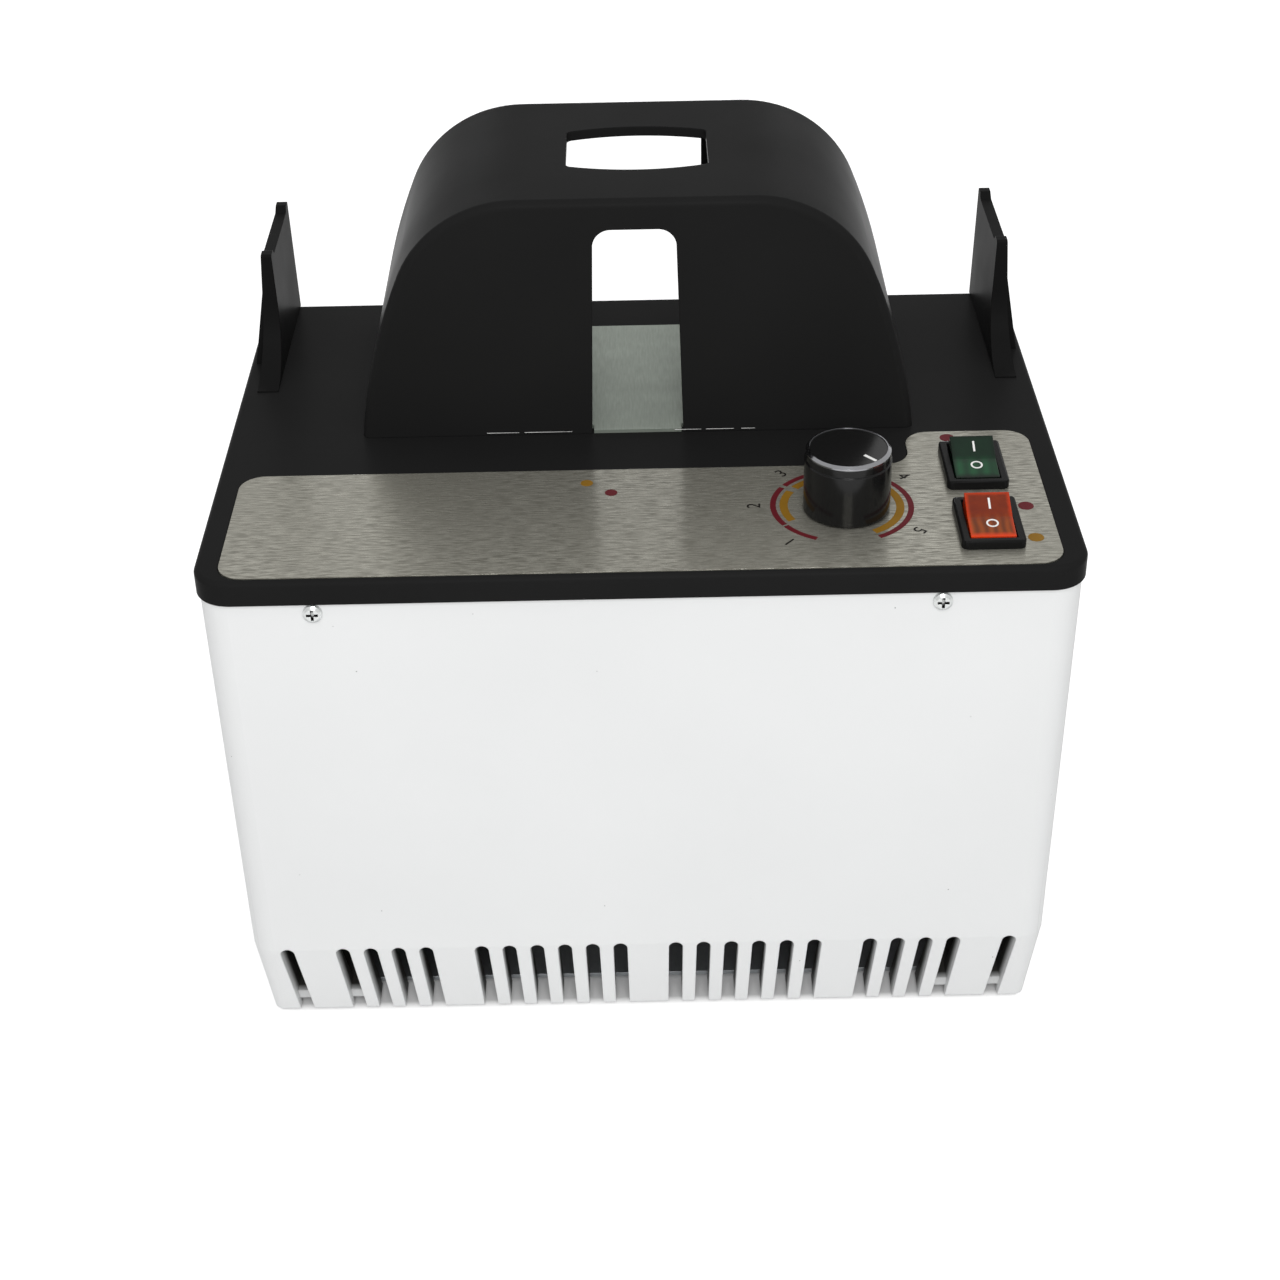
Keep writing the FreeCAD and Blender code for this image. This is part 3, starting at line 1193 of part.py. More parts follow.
def make_knob():
    low = "(%s + knob_gap)" % PANEL_TOP
    top = "(%s + knob_height)" % low
    ring_low = "(%s - ring_height)" % top
    hollow = "(%s + knob_hollow_depth)" % low
    shaft_top = "(%s - pot_depth + pot_floor + shaft_end_gap + shaft_length)" % COVER_UNDER
    slim = "(knob_radius - knob_step)"
    band = "(%s - knob_band)" % ring_low
    face = "(%s - knob_face_drop)" % top
    body = turned("knob_body", [
        ("0", shaft_top), ("shaft_radius", shaft_top), ("shaft_radius", hollow), ("knob_hollow", hollow),
        ("knob_hollow", low), ("knob_radius", low), ("knob_radius", band), (slim, band),
        (slim, ring_low), ("ring_inner", ring_low), ("ring_inner", face), ("0", face)])
    groove = sketch_on(body, "XY_Plane", face)
    end = "ring_inner - pointer_end_gap"
    points = [("pointer_inner", "-"), (end, "-"), (end, ""), ("pointer_inner", "")]
    turn = "(pointer_angle * 1 deg)"
    across = "(pointer_width / 2)"
    polygon(groove, [
        ("(%s) * cos(%s) - (%s%s) * sin(%s)" % (x, turn, side, across, turn),
         "(%s) * sin(%s) + (%s%s) * cos(%s)" % (x, turn, side, across, turn)) for x, side in points])
    extrude(body, "Pocket", groove, "pointer_depth")
    turned("knob_ring", [
        ("ring_inner", ring_low), (slim, ring_low), (slim, "(%s - ring_chamfer)" % top),
        ("(%s - ring_chamfer)" % slim, top), ("ring_inner", top)])
    pointer = box("knob_pointer", "0", end + " - pointer_inner", "0", "pointer_width", "0",
                  "pointer_depth + knob_face_drop / 2")
    pointer.Placement = Placement(Vector(), Rotation(Vector(0, 0, 1), 0))
    bind(pointer, "Placement.Rotation.Angle", turn)
    bind(pointer, "Placement.Base.x",
         "knob_x + pointer_inner * cos(%s) + %s * sin(%s)" % (turn, across, turn))
    bind(pointer, "Placement.Base.y",
         "knob_y + pointer_inner * sin(%s) - %s * cos(%s)" % (turn, across, turn))
    bind(pointer, "Placement.Base.z", face + " - pointer_depth")
    keep(pointer, "knob_pointer")


# ---- rocker switches ----------------------------------------------------------------------

def centred_rect(sketch, half_x, half_y):
    rect(sketch, "-(%s)" % half_x, half_x, "-(%s)" % half_y, half_y)


def make_switch(name, y):
    """Snap-in switch body with its bezel, the rocker on two pins, and three blades below."""
    body = new_body(name + "_body", ("switch_x", y, PANEL_TOP))
    bezel = sketch_on(body, "XY_Plane")
    centred_rect(bezel, "bezel_width / 2", "bezel_length / 2")
    flange = extrude(body, "Pad", bezel, "bezel_rise")
    top = value("bezel_rise")
    upright = value("bezel_rise") - 0.01

    def bezel_edge(edge):
        return at_height(edge, top) or edge.BoundBox.ZLength > upright

    round_edges(body, flange, "Fillet", "bezel_edge", bezel_edge)
    case = sketch_on(body, "XY_Plane")
    centred_rect(case, "switch_body_width / 2", "switch_body_length / 2")
    extrude(body, "Pad", case, "switch_body_depth", back=True)
    mouth = sketch_on(body, "XY_Plane", "bezel_rise")
    centred_rect(mouth, "rocker_width / 2 + rocker_gap", "rocker_half_length + rocker_end_gap")
    extrude(body, "Pocket", mouth, "bezel_rise")
    well = sketch_on(body, "XY_Plane", "bezel_rise")
    centred_rect(well, "rocker_width / 2 + rocker_gap", "rocker_half_length + rocker_end_gap - well_step")
    extrude(body, "Pocket", well, "rocker_well")
    pivots = sketch_on(body, "YZ_Plane")
    circle(pivots, "0", "-rocker_pivot_drop", "pivot_radius + pivot_fit")
    extrude(body, "Pocket", pivots, middle=True)

    rocker = new_body(name + "_rocker", ("switch_x", y, PANEL_TOP + " - rocker_pivot_drop"))
    rocker.Placement = Placement(Vector(), Rotation(Vector(1, 0, 0), 1))
    bind(rocker, "Placement.Rotation.Angle", "rocker_tilt * 1 deg")
    profile = sketch_on(rocker, "YZ_Plane")
    polygon(profile, [
        ("-rocker_keel_half", "-rocker_keel"), ("rocker_keel_half", "-rocker_keel"),
        ("rocker_half_length", "rocker_lip"), ("rocker_half_length", "rocker_end_rise"),
        ("0", "rocker_end_rise - rocker_dip"),
        ("-rocker_half_length", "rocker_end_rise"), ("-rocker_half_length", "rocker_lip")])
    extrude(rocker, "Pad", profile, "rocker_width", middle=True)
    pins = sketch_on(rocker, "YZ_Plane")
    circle(pins, "0", "0", "pivot_radius")
    extrude(rocker, "Pad", pins, "2 * pivot_reach", middle=True)

    bottom = "(%s - switch_body_depth)" % PANEL_TOP
    blades = []
    for step in (-1, 0, 1):
        middle = "(%s + (%d) * blade_spacing)" % (y, step)
        blades.append(box("%s_blade_%d" % (name, step + 1),
                          "switch_x - blade_width / 2", "switch_x + blade_width / 2",
                          middle + " - blade_thick / 2", middle + " + blade_thick / 2",
                          bottom + " - blade_length", bottom))
    group(name + "_terminals", blades)


# ---- fan ----------------------------------------------------------------------------------

def make_fan():
    place = ("0", "fan_y", FAN_BOTTOM)
    half = "fan_side / 2"
    frame = new_body("fan_frame", place)
    outline = sketch_on(frame, "XY_Plane")
    rounded_rect(outline, "-" + half, half, "-" + half, half, "fan_frame_corner")
    extrude(frame, "Pad", outline, "fan_thick")
    bore = sketch_on(frame, "XY_Plane")
    circle(bore, "0", "0", "fan_bore")
    for sx, sy in CORNERS:
        circle(bore, sx + FAN_HOLE, sy + FAN_HOLE, "fan_hole_radius")
    extrude(frame, "Pocket", bore, back=True)
    arm, half_arm = "fan_bore + spider_root", "fan_spider_width / 2"
    for half_x, half_y in ((arm, half_arm), (half_arm, arm)):
        strut = sketch_on(frame, "XY_Plane")
        centred_rect(strut, half_x, half_y)
        extrude(frame, "Pad", strut, "fan_spider_thick")
    disc = sketch_on(frame, "XY_Plane")
    circle(disc, "0", "0", "fan_hub_radius - fan_hub_wall")
    extrude(frame, "Pad", disc, "fan_spider_thick")

    seat = "(%s + fan_spider_thick)" % FAN_BOTTOM
    core = cylinder("core_solid", "0", "fan_y", seat, seat + " + core_height", "core_radius")
    hole = cylinder("core_hole", "0", "fan_y", seat + " - cut_past", seat + " + core_height + cut_past",
                    "bearing_radius")
    keep(cut("fan_motor_core", core, hole), "fan_motor_core")
    sleeve = cylinder("bearing_solid", "0", "fan_y", seat, seat + " + core_height", "bearing_radius")
    hole = cylinder("bearing_hole", "0", "fan_y", seat + " - cut_past", seat + " + core_height + cut_past",
                    "fan_shaft_radius + fan_shaft_fit")
    keep(cut("fan_bearing", sleeve, hole), "fan_bearing")

    hub_low = "(fan_spider_thick + fan_hub_gap)"
    hub_top = "(%s + fan_hub_height)" % hub_low
    cap_under = "(%s - fan_hub_wall)" % hub_top
    wheel = new_body("fan_impeller", place)
    blade_mid = "(%s + fan_blade_mid)" % hub_low
    cup = sketch_on(wheel, "XZ_Plane")
    polygon(cup, [("fan_hub_radius - fan_hub_wall", hub_low), ("fan_hub_radius", hub_low),
                  ("fan_hub_radius", hub_top), ("fan_shaft_radius", hub_top),
                  ("fan_shaft_radius", cap_under), ("fan_hub_radius - fan_hub_wall", cap_under)])
    revolve(wheel, cup)
    sections = []
    reach = "(fan_bore - fan_tip_gap)"
    root = "sqrt((fan_hub_radius - fan_blade_root) ^ 2 - fan_blade_half ^ 2)"
    tip = "sqrt(%s ^ 2 - fan_blade_half ^ 2)" % reach
    for distance, rise in ((root, "fan_root_rise"), (tip, "fan_tip_rise")):
        section = sketch_on(wheel, "YZ_Plane", distance)
        up, thick = "(%s)" % rise, "fan_blade_thick / 2"
        polygon(section, [("-fan_blade_half", "%s - %s - %s" % (blade_mid, up, thick)),
                          ("fan_blade_half", "%s + %s - %s" % (blade_mid, up, thick)),
                          ("fan_blade_half", "%s + %s + %s" % (blade_mid, up, thick)),
                          ("-fan_blade_half", "%s - %s + %s" % (blade_mid, up, thick))])
        sections.append(section)
    blade = loft(wheel, "AdditiveLoft", sections)
    blades = wheel.newObject("PartDesign::PolarPattern", "blade_ring")
    blades.Originals = [blade]
    blades.Axis = (cup, ["V_Axis"])
    blades.Angle = 360
    blades.Occurrences = FAN_BLADES
    wheel.Tip = blades

    shaft = cylinder("fan_shaft", "0", "fan_y", seat + " + fan_shaft_end_gap", FAN_BOTTOM + " + " + hub_top,
                     "fan_shaft_radius")
    keep(shaft, "fan_shaft")
    posts = []
    for sx, sy in CORNERS:
        posts.append(cylinder("fan_post_%d" % len(posts), sx + FAN_HOLE, "fan_y + (%s%s)" % (sy, FAN_HOLE),
                              PLATE_TOP, FAN_BOTTOM, "standoff_radius"))
    group("fan_standoffs", posts)


# ---- heater and air splitter --------------------------------------------------------------

def ribbon_ring(name, radius, middle, margin):
    """One flat ring of heating ribbon, or with a margin the groove that it lies in."""
    half = "(coil_ribbon_width / 2 + %s)" % margin
    outer = cylinder(name + "_outer", "0", "fan_y", "%s - %s" % (middle, half), "%s + %s" % (middle, half),
                     "%s + coil_ribbon_thick / 2 + %s" % (radius, margin))
    inner = cylinder(name + "_inner", "0", "fan_y", "%s - %s - cut_past" % (middle, half),
                     "%s + %s + cut_past" % (middle, half),
                     "%s - coil_ribbon_thick / 2 - %s" % (radius, margin))
    return cut(name, outer, inner)


def make_heater():
    half = "fan_side / 2"
    shroud = new_body("heater_shroud", ("0", "fan_y", FAN_TOP))
    outline = sketch_on(shroud, "XY_Plane")
    rounded_rect(outline, "-" + half, half, "-" + half, half, "fan_frame_corner")
    extrude(shroud, "Pad", outline, "heater_height")
    inner = "(%s - heater_sheet)" % half
    hollow = sketch_on(shroud, "XY_Plane")
    rounded_rect(hollow, "-" + inner, inner, "-" + inner, inner, "fan_frame_corner - heater_sheet")
    extrude(shroud, "Pocket", hollow, back=True)

    low, high = "(%s + mica_margin)" % FAN_TOP, "(%s - mica_margin)" % HEATER_TOP
    plates = [box("mica_across", "-" + inner, inner, "fan_y - mica_thick / 2", "fan_y + mica_thick / 2",
                  low, high),
              box("mica_along", "-mica_thick / 2", "mica_thick / 2", "fan_y - " + inner,
                  "fan_y + " + inner, low, high)]
    rings, grooves = [], []
    for level in COIL_LEVELS:
        middle = "((%s + %s) / 2 + (%g) * coil_level_pitch)" % (FAN_TOP, HEATER_TOP, level)
        for radius in ("coil_inner", "coil_outer"):
            rings.append(ribbon_ring("ribbon_%d" % len(rings), radius, middle, "0"))
            grooves.append(ribbon_ring("groove_%d" % len(grooves), radius, middle, "coil_hole_fit"))
    keep(cut("heater_frame", fuse("mica_cross", plates), fuse("grooves", grooves)), "heater_frame")
    group("heater_coils", rings)

    # a thermal cut-out, screwed flat on the shroud's front wall
    face, middle = "(fan_y - fan_side / 2)", "((%s + %s) / 2)" % (FAN_TOP, HEATER_TOP)
    discs = []
    for name, radius, thick in (("cutout_flange_disc", "cutout_flange", "cutout_flange_thick"),
                                ("cutout_case", "cutout_radius", "cutout_thick")):
        disc = doc.addObject("Part::Cylinder", name)
        bind(disc, "Radius", radius)
        bind(disc, "Height", thick)
        disc.Placement = Placement(Vector(), Rotation(Vector(1, 0, 0), 90))
        for axis, text in (("x", "cutout_x"), ("y", face), ("z", middle)):
            bind(disc, "Placement.Base." + axis, text)
        discs.append(disc)
    keep(fuse("thermal_cutout", discs), "thermal_cutout")


def make_air_splitter():
    """A sheet transition from the heater's square outlet to the width of both duct openings."""
    body = new_body("air_splitter")
    for kind, margin in (("AdditiveLoft", "0"), ("SubtractiveLoft", "splitter_sheet")):
        sections = []
        low = sketch_on(body, "XY_Plane", HEATER_TOP)
        half = "(fan_side / 2 - %s)" % margin
        corner = "splitter_corner - %s" % margin
        rounded_rect(low, "-" + half, half, "fan_y - " + half, "fan_y + " + half, corner)
        sections.append(low)
        high = sketch_on(body, "XY_Plane", COVER_UNDER)
        half = "(duct_foot - duct_opening_inset + splitter_sheet - %s)" % margin
        rounded_rect(high, "-" + half, half,
                     "%s + duct_opening_inset - splitter_sheet + %s" % (DUCT_FRONT, margin),
                     "%s - duct_opening_inset + splitter_sheet - %s" % (DUCT_REAR, margin), corner)
        sections.append(high)
        loft(body, kind, sections)


# ---- control board ------------------------------------------------------------------------

def make_control_board():
    low = "(%s + board_lift)" % PLATE_TOP
    top = "(%s + board_thick)" % low
    board = box("control_board", "board_x", "board_x + board_width", "board_y", "board_y + board_length",
                low, top)
    keep(board, "control_board")
    posts = []
    for x in ("board_x + board_hole_inset", "board_x + board_width - board_hole_inset"):
        for y in ("board_y + board_hole_inset", "board_y + board_length - board_hole_inset"):
            posts.append(cylinder("board_post_%d" % len(posts), x, y, PLATE_TOP, low, "board_post"))
    group("board_standoffs", posts)

    sink = new_body("triac_heatsink", ("sink_x", "sink_y", top))
    base = sketch_on(sink, "XY_Plane")
    rect(base, "0", "sink_width", "-sink_base", "0")
    extrude(sink, "Pad", base, "sink_height")
    fin = sketch_on(sink, "XY_Plane")
    rect(fin, "0", "sink_fin", "-rib_root", "sink_fin_depth")
    blade = extrude(sink, "Pad", fin, "sink_height")
    row_of(sink, blade, (fin, ["H_Axis"]), "(sink_width - sink_fin) / %d" % (SINK_FINS - 1), SINK_FINS)

    case = new_body("board_capacitor", ("capacitor_x", "capacitor_y", top))
    outline = sketch_on(case, "XY_Plane")
    rect(outline, "0", "capacitor_width", "0", "capacitor_length")
    block = extrude(case, "Pad", outline, "capacitor_height")
    round_edges(case, block, "Fillet", "capacitor_round", lambda edge: edge.BoundBox.ZMax > 1)


# ---- power inlet --------------------------------------------------------------------------

def make_power_inlet():
    body = new_body("power_inlet", ("inlet_x", "0", "inlet_z"))
    rear = "-(%s)" % HALF_DEPTH
    flange = sketch_on(body, "XZ_Plane", rear)
    rounded_rect(flange, "-inlet_flange_width / 2", "inlet_flange_width / 2",
                 "-inlet_flange_height / 2", "inlet_flange_height / 2", "inlet_corner - inlet_fit")
    extrude(body, "Pad", flange, "inlet_flange_thick")
    case = sketch_on(body, "XZ_Plane", "-(%s)" % INLET_SEAT)
    centred_rect(case, "inlet_width / 2", "inlet_height / 2")
    extrude(body, "Pad", case, "inlet_depth")
    mouth = sketch_on(body, "XZ_Plane", rear)
    x, z, slant = "inlet_cavity_width / 2", "inlet_cavity_height / 2", "inlet_cavity_slant"
    polygon(mouth, [("-" + x, "-" + z), (x, "-" + z), (x, z + " - " + slant), (x + " - " + slant, z),
                    ("-%s + %s" % (x, slant), z), ("-" + x, z + " - " + slant)])
    extrude(body, "Pocket", mouth, "inlet_cavity_depth", back=True)
    ears = sketch_on(body, "XZ_Plane", rear)
    circle(ears, "-inlet_screw_spacing / 2", "0", "screw_shank + 2 * screw_fit")
    circle(ears, "inlet_screw_spacing / 2", "0", "screw_shank + 2 * screw_fit")
    extrude(body, "Pocket", ears, "inlet_flange_thick + cut_past / 2", back=True)
    seats = sketch_on(body, "XZ_Plane", rear)
    circle(seats, "-inlet_screw_spacing / 2", "0", "screw_head + 2 * screw_fit")
    circle(seats, "inlet_screw_spacing / 2", "0", "screw_head + 2 * screw_fit")
    extrude(body, "Pocket", seats, "inlet_seat_depth", back=True)

    floor = "(%s - inlet_cavity_depth)" % HALF_DEPTH
    pins = []
    for step, rise in ((-1, "-pin_row_drop"), (0, "pin_earth_rise"), (1, "-pin_row_drop")):
        middle_x = "(inlet_x + (%d) * pin_spacing)" % step
        middle_z = "(inlet_z + (%s))" % rise
        pins.append(box("inlet_pin_%d" % (step + 1),
                        middle_x + " - pin_thick / 2", middle_x + " + pin_thick / 2",
                        floor, floor + " + pin_length",
                        middle_z + " - pin_wide / 2", middle_z + " + pin_wide / 2"))
    group("inlet_pins", pins)
    screws = []
    for side in ("-", "+"):
        screws.append(screw("inlet_screw_%d" % len(screws), "inlet_x %s inlet_screw_spacing / 2" % side,
                            HALF_DEPTH + " - inlet_seat_depth", "inlet_z", -90,
                            "inlet_flange_thick + housing_wall - inlet_seat_depth"))
    group("inlet_screws", screws)


# ---- build, check and write ---------------------------------------------------------------

make_lower_housing()
make_base_plate()
make_feet()
make_top_cover()
make_cover_screws()
make_air_hood()
make_hood_screws()
make_channel_floor()
for name, side, plus in (("left", "-", False), ("right", "", True)):
    make_air_duct(name + "_air_duct", side, plus)
    make_portal_grille(name + "_portal_grille", side, plus)
    make_cradle(name + "_cradle", side, plus)
make_control_panel()
make_potentiometer()
make_knob()
make_switch("power_switch", "power_switch_y")
make_switch("temperature_switch", "temperature_switch_y")
make_fan()
make_heater()
make_air_splitter()
make_control_board()
make_power_inlet()
doc.recompute()

for item in doc.Objects:
    if "Invalid" in item.State or "Error" in item.State:
        raise RuntimeError("%s (%s) did not recompute: %s" % (item.Name, item.Label, item.State))
for item in doc.Objects:
    if item.TypeId == "PartDesign::Pocket":
        before, after = item.BaseFeature.Shape.Volume, item.Shape.Volume
        if after > before - 0.01:
            raise RuntimeError("%s cuts nothing" % item.Name)
os.makedirs("parts", exist_ok=True)
for item in parts:
    if item.Shape.isNull() or not item.Shape.isValid():
        raise RuntimeError("%s has no valid shape" % item.Label)
for item in parts:
    item.Shape.exportStep("parts/%s.step" % item.Label)
print(len(parts), "sub-parts written")
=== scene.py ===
import json
import math

import bmesh
import bpy
from mathutils import Matrix, Vector
from mathutils.bvhtree import BVHTree


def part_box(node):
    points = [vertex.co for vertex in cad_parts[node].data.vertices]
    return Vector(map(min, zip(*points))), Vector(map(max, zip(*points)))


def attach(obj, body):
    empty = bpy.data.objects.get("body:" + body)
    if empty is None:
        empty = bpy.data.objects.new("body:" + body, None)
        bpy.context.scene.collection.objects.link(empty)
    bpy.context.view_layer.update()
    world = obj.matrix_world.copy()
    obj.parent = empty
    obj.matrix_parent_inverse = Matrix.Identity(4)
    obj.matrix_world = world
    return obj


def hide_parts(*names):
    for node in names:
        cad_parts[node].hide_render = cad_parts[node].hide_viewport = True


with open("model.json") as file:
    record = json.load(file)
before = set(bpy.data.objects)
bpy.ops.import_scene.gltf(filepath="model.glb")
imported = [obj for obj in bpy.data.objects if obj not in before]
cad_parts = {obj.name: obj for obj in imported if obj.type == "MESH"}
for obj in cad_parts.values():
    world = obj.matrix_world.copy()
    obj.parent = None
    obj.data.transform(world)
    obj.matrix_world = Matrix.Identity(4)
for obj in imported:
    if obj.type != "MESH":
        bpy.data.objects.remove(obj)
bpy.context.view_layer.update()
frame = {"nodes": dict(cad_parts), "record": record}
nodes = frame["nodes"]
mm = 0.001


def linear(hexColour):  # sRGB hex to linear colour with alpha
    parts = [int(hexColour[i:i + 2], 16) / 255 for i in (1, 3, 5)]
    return [c / 12.92 if c <= 0.04045 else ((c + 0.055) / 1.055) ** 2.4 for c in parts] + [1.0]


def add(tree, kind, inputs=None, **settings):  # one node with its settings and links
    node = tree.nodes.new(kind)
    for name, value in settings.items():
        setattr(node, name, value)
    for key, value in (inputs or {}).items():
        if isinstance(value, bpy.types.NodeSocket):
            tree.links.new(value, node.inputs[key])
        else:
            node.inputs[key].default_value = value
    return node


def newTree(name):
    material = bpy.data.materials.new(name)
    material.use_nodes = True
    material.node_tree.nodes.clear()
    return material, material.node_tree


def perMetre(size):  # texture scale for a feature of this many millimetres
    return 1000.0 / size


# Injection-moulded plastic: a spark-eroded mould leaves a fine even grain, edges catch a thin light line
def mouldedPlastic(name, look):
    material, tree = newTree(name)
    place = add(tree, "ShaderNodeTexCoord").outputs["Object"]
    cloud = add(tree, "ShaderNodeTexNoise", {"Vector": place, "Scale": perMetre(look["cloudSize"]), "Detail": 3.0})
    tint = add(tree, "ShaderNodeMix", {0: cloud.outputs["Fac"], 6: linear(look["colour"]),
                                       7: linear(look["shade"])}, data_type="RGBA")
    colour = tint.outputs[2]
    if "speckColour" in look:  # regrind specks in the pellets
        cells = add(tree, "ShaderNodeTexVoronoi", {"Vector": place, "Scale": perMetre(look["speckSpacing"])})
        near = add(tree, "ShaderNodeMath", {0: cells.outputs["Distance"], 1: look["speckSize"] / look["speckSpacing"]},
                   operation="LESS_THAN")
        pick = add(tree, "ShaderNodeSeparateColor", {"Color": cells.outputs["Color"]})
        few = add(tree, "ShaderNodeMath", {0: pick.outputs["Red"], 1: look["speckShare"]}, operation="LESS_THAN")
        both = add(tree, "ShaderNodeMath", {0: near.outputs[0], 1: few.outputs[0]}, operation="MULTIPLY")
        colour = add(tree, "ShaderNodeMix", {0: both.outputs[0], 6: colour, 7: linear(look["speckColour"])},
                     data_type="RGBA").outputs[2]
    if "innerShadeColour" in look:  # painted shade: darker inside the shell and deeper in the comb's slots, by depth in from the outer walls
        axes = add(tree, "ShaderNodeSeparateXYZ", {"Vector": place})
        depths = []
        for axis, (low, high) in (("X", look["halfWidth"]), ("Y", look["halfDepth"])):
            face = add(tree, "ShaderNodeMapRange", {"Value": axes.outputs["Z"], "From Min": look["skirt"][0] * mm,
                                                    "From Max": look["skirt"][1] * mm, "To Min": low * mm,
                                                    "To Max": high * mm})
            reach = add(tree, "ShaderNodeMath", {0: axes.outputs[axis]}, operation="ABSOLUTE")
            depths.append(add(tree, "ShaderNodeMath", {0: face.outputs[0], 1: reach.outputs[0]},
                              operation="SUBTRACT").outputs[0])
        depth = add(tree, "ShaderNodeMath", {0: depths[0], 1: depths[1]}, operation="MINIMUM")
        insideShade = add(tree, "ShaderNodeMapRange", {"Value": depth.outputs[0], "From Min": look["shadeFrom"] * mm,
                                                "From Max": look["shadeTo"] * mm})
        colour = add(tree, "ShaderNodeMix", {0: insideShade.outputs[0], 6: colour, 7: linear(look["innerShadeColour"])},
                     data_type="RGBA").outputs[2]
    grain = add(tree, "ShaderNodeTexNoise", {"Vector": place, "Scale": perMetre(look["grainSize"]), "Detail": 2.0})
    soft = add(tree, "ShaderNodeBevel", {"Radius": look["edgeRadius"] * mm}, samples=4)
    rough = add(tree, "ShaderNodeMapRange", {"Value": cloud.outputs["Fac"], "From Min": 0.3, "From Max": 0.7,
                                             "To Min": look["roughness"] - 0.04, "To Max": look["roughness"] + 0.04})
    bump = add(tree, "ShaderNodeBump", {"Height": grain.outputs["Fac"], "Distance": look["grainDepth"] * mm,
                                        "Strength": 1.0, "Normal": soft.outputs[0]})
    surface = add(tree, "ShaderNodeBsdfPrincipled",
                  {"Base Color": colour, "Roughness": rough.outputs[0], "Specular IOR Level": look["gloss"],
                   "IOR": look["ior"], "Normal": bump.outputs[0]})
    add(tree, "ShaderNodeOutputMaterial", {"Surface": surface.outputs[0]})
    return material


# Rolled, turned or brushed metal: long scratches along one axis, and a slow change of tone
def workedMetal(name, look):
    material, tree = newTree(name)
    place = add(tree, "ShaderNodeTexCoord").outputs["Object"]
    along = add(tree, "ShaderNodeMapping", {"Vector": place, "Scale": look["stretch"]})
    lines = add(tree, "ShaderNodeTexNoise", {"Vector": along.outputs[0], "Scale": perMetre(look["lineWidth"]),
                                             "Detail": 3.0, "Roughness": 0.6})
    cloud = add(tree, "ShaderNodeTexNoise", {"Vector": place, "Scale": perMetre(look["cloudSize"]), "Detail": 3.0})
    contrast = look.get("contrast", 0.2)
    tone = add(tree, "ShaderNodeMapRange", {"Value": lines.outputs["Fac"], "From Min": 0.5 - contrast,
                                            "From Max": 0.5 + contrast})
    brushed = add(tree, "ShaderNodeMix", {0: tone.outputs[0], 6: linear(look["shade"]), 7: linear(look["colour"])},
                  data_type="RGBA")
    tinted = add(tree, "ShaderNodeMix", {0: cloud.outputs["Fac"], 6: brushed.outputs[2], 7: linear(look["tarnish"])},
                 data_type="RGBA")
    colour = tinted.outputs[2]
    if "recessShade" in look:  # painted shade: darker where ambient occlusion finds a recess, as in a screw's cross
        exposure = add(tree, "ShaderNodeAmbientOcclusion", {"Distance": look["recessShadeReach"] * mm}, samples=8,
                       only_local=True)
        clear = add(tree, "ShaderNodeMapRange", {"Value": exposure.outputs["AO"], "From Min": look["recessShadeFrom"],
                                                 "From Max": look["recessShadeTo"]})
        colour = add(tree, "ShaderNodeMix", {0: clear.outputs[0], 6: linear(look["recessShade"]), 7: colour},
                     data_type="RGBA").outputs[2]
    soft = add(tree, "ShaderNodeBevel", {"Radius": look["edgeRadius"] * mm}, samples=4)
    bump = add(tree, "ShaderNodeBump", {"Height": lines.outputs["Fac"], "Distance": look["lineDepth"] * mm,
                                        "Normal": soft.outputs[0]})
    rough = add(tree, "ShaderNodeMapRange", {"Value": lines.outputs["Fac"], "From Min": 0.3, "From Max": 0.7,
                                             "To Min": look["roughness"] + 0.06, "To Max": look["roughness"] - 0.06})
    surface = add(tree, "ShaderNodeBsdfPrincipled",
                  {"Base Color": colour, "Roughness": rough.outputs[0], "Metallic": look["metallic"],
                   "Anisotropic": look["anisotropic"], "Normal": bump.outputs[0]})
    if look["anisotropic"] > 0:  # scratches run along X, so light spreads along Y
        across = add(tree, "ShaderNodeTangent", direction_type="RADIAL", axis="X")
        tree.links.new(across.outputs[0], surface.inputs["Tangent"])
    add(tree, "ShaderNodeOutputMaterial", {"Surface": surface.outputs[0]})
    return material


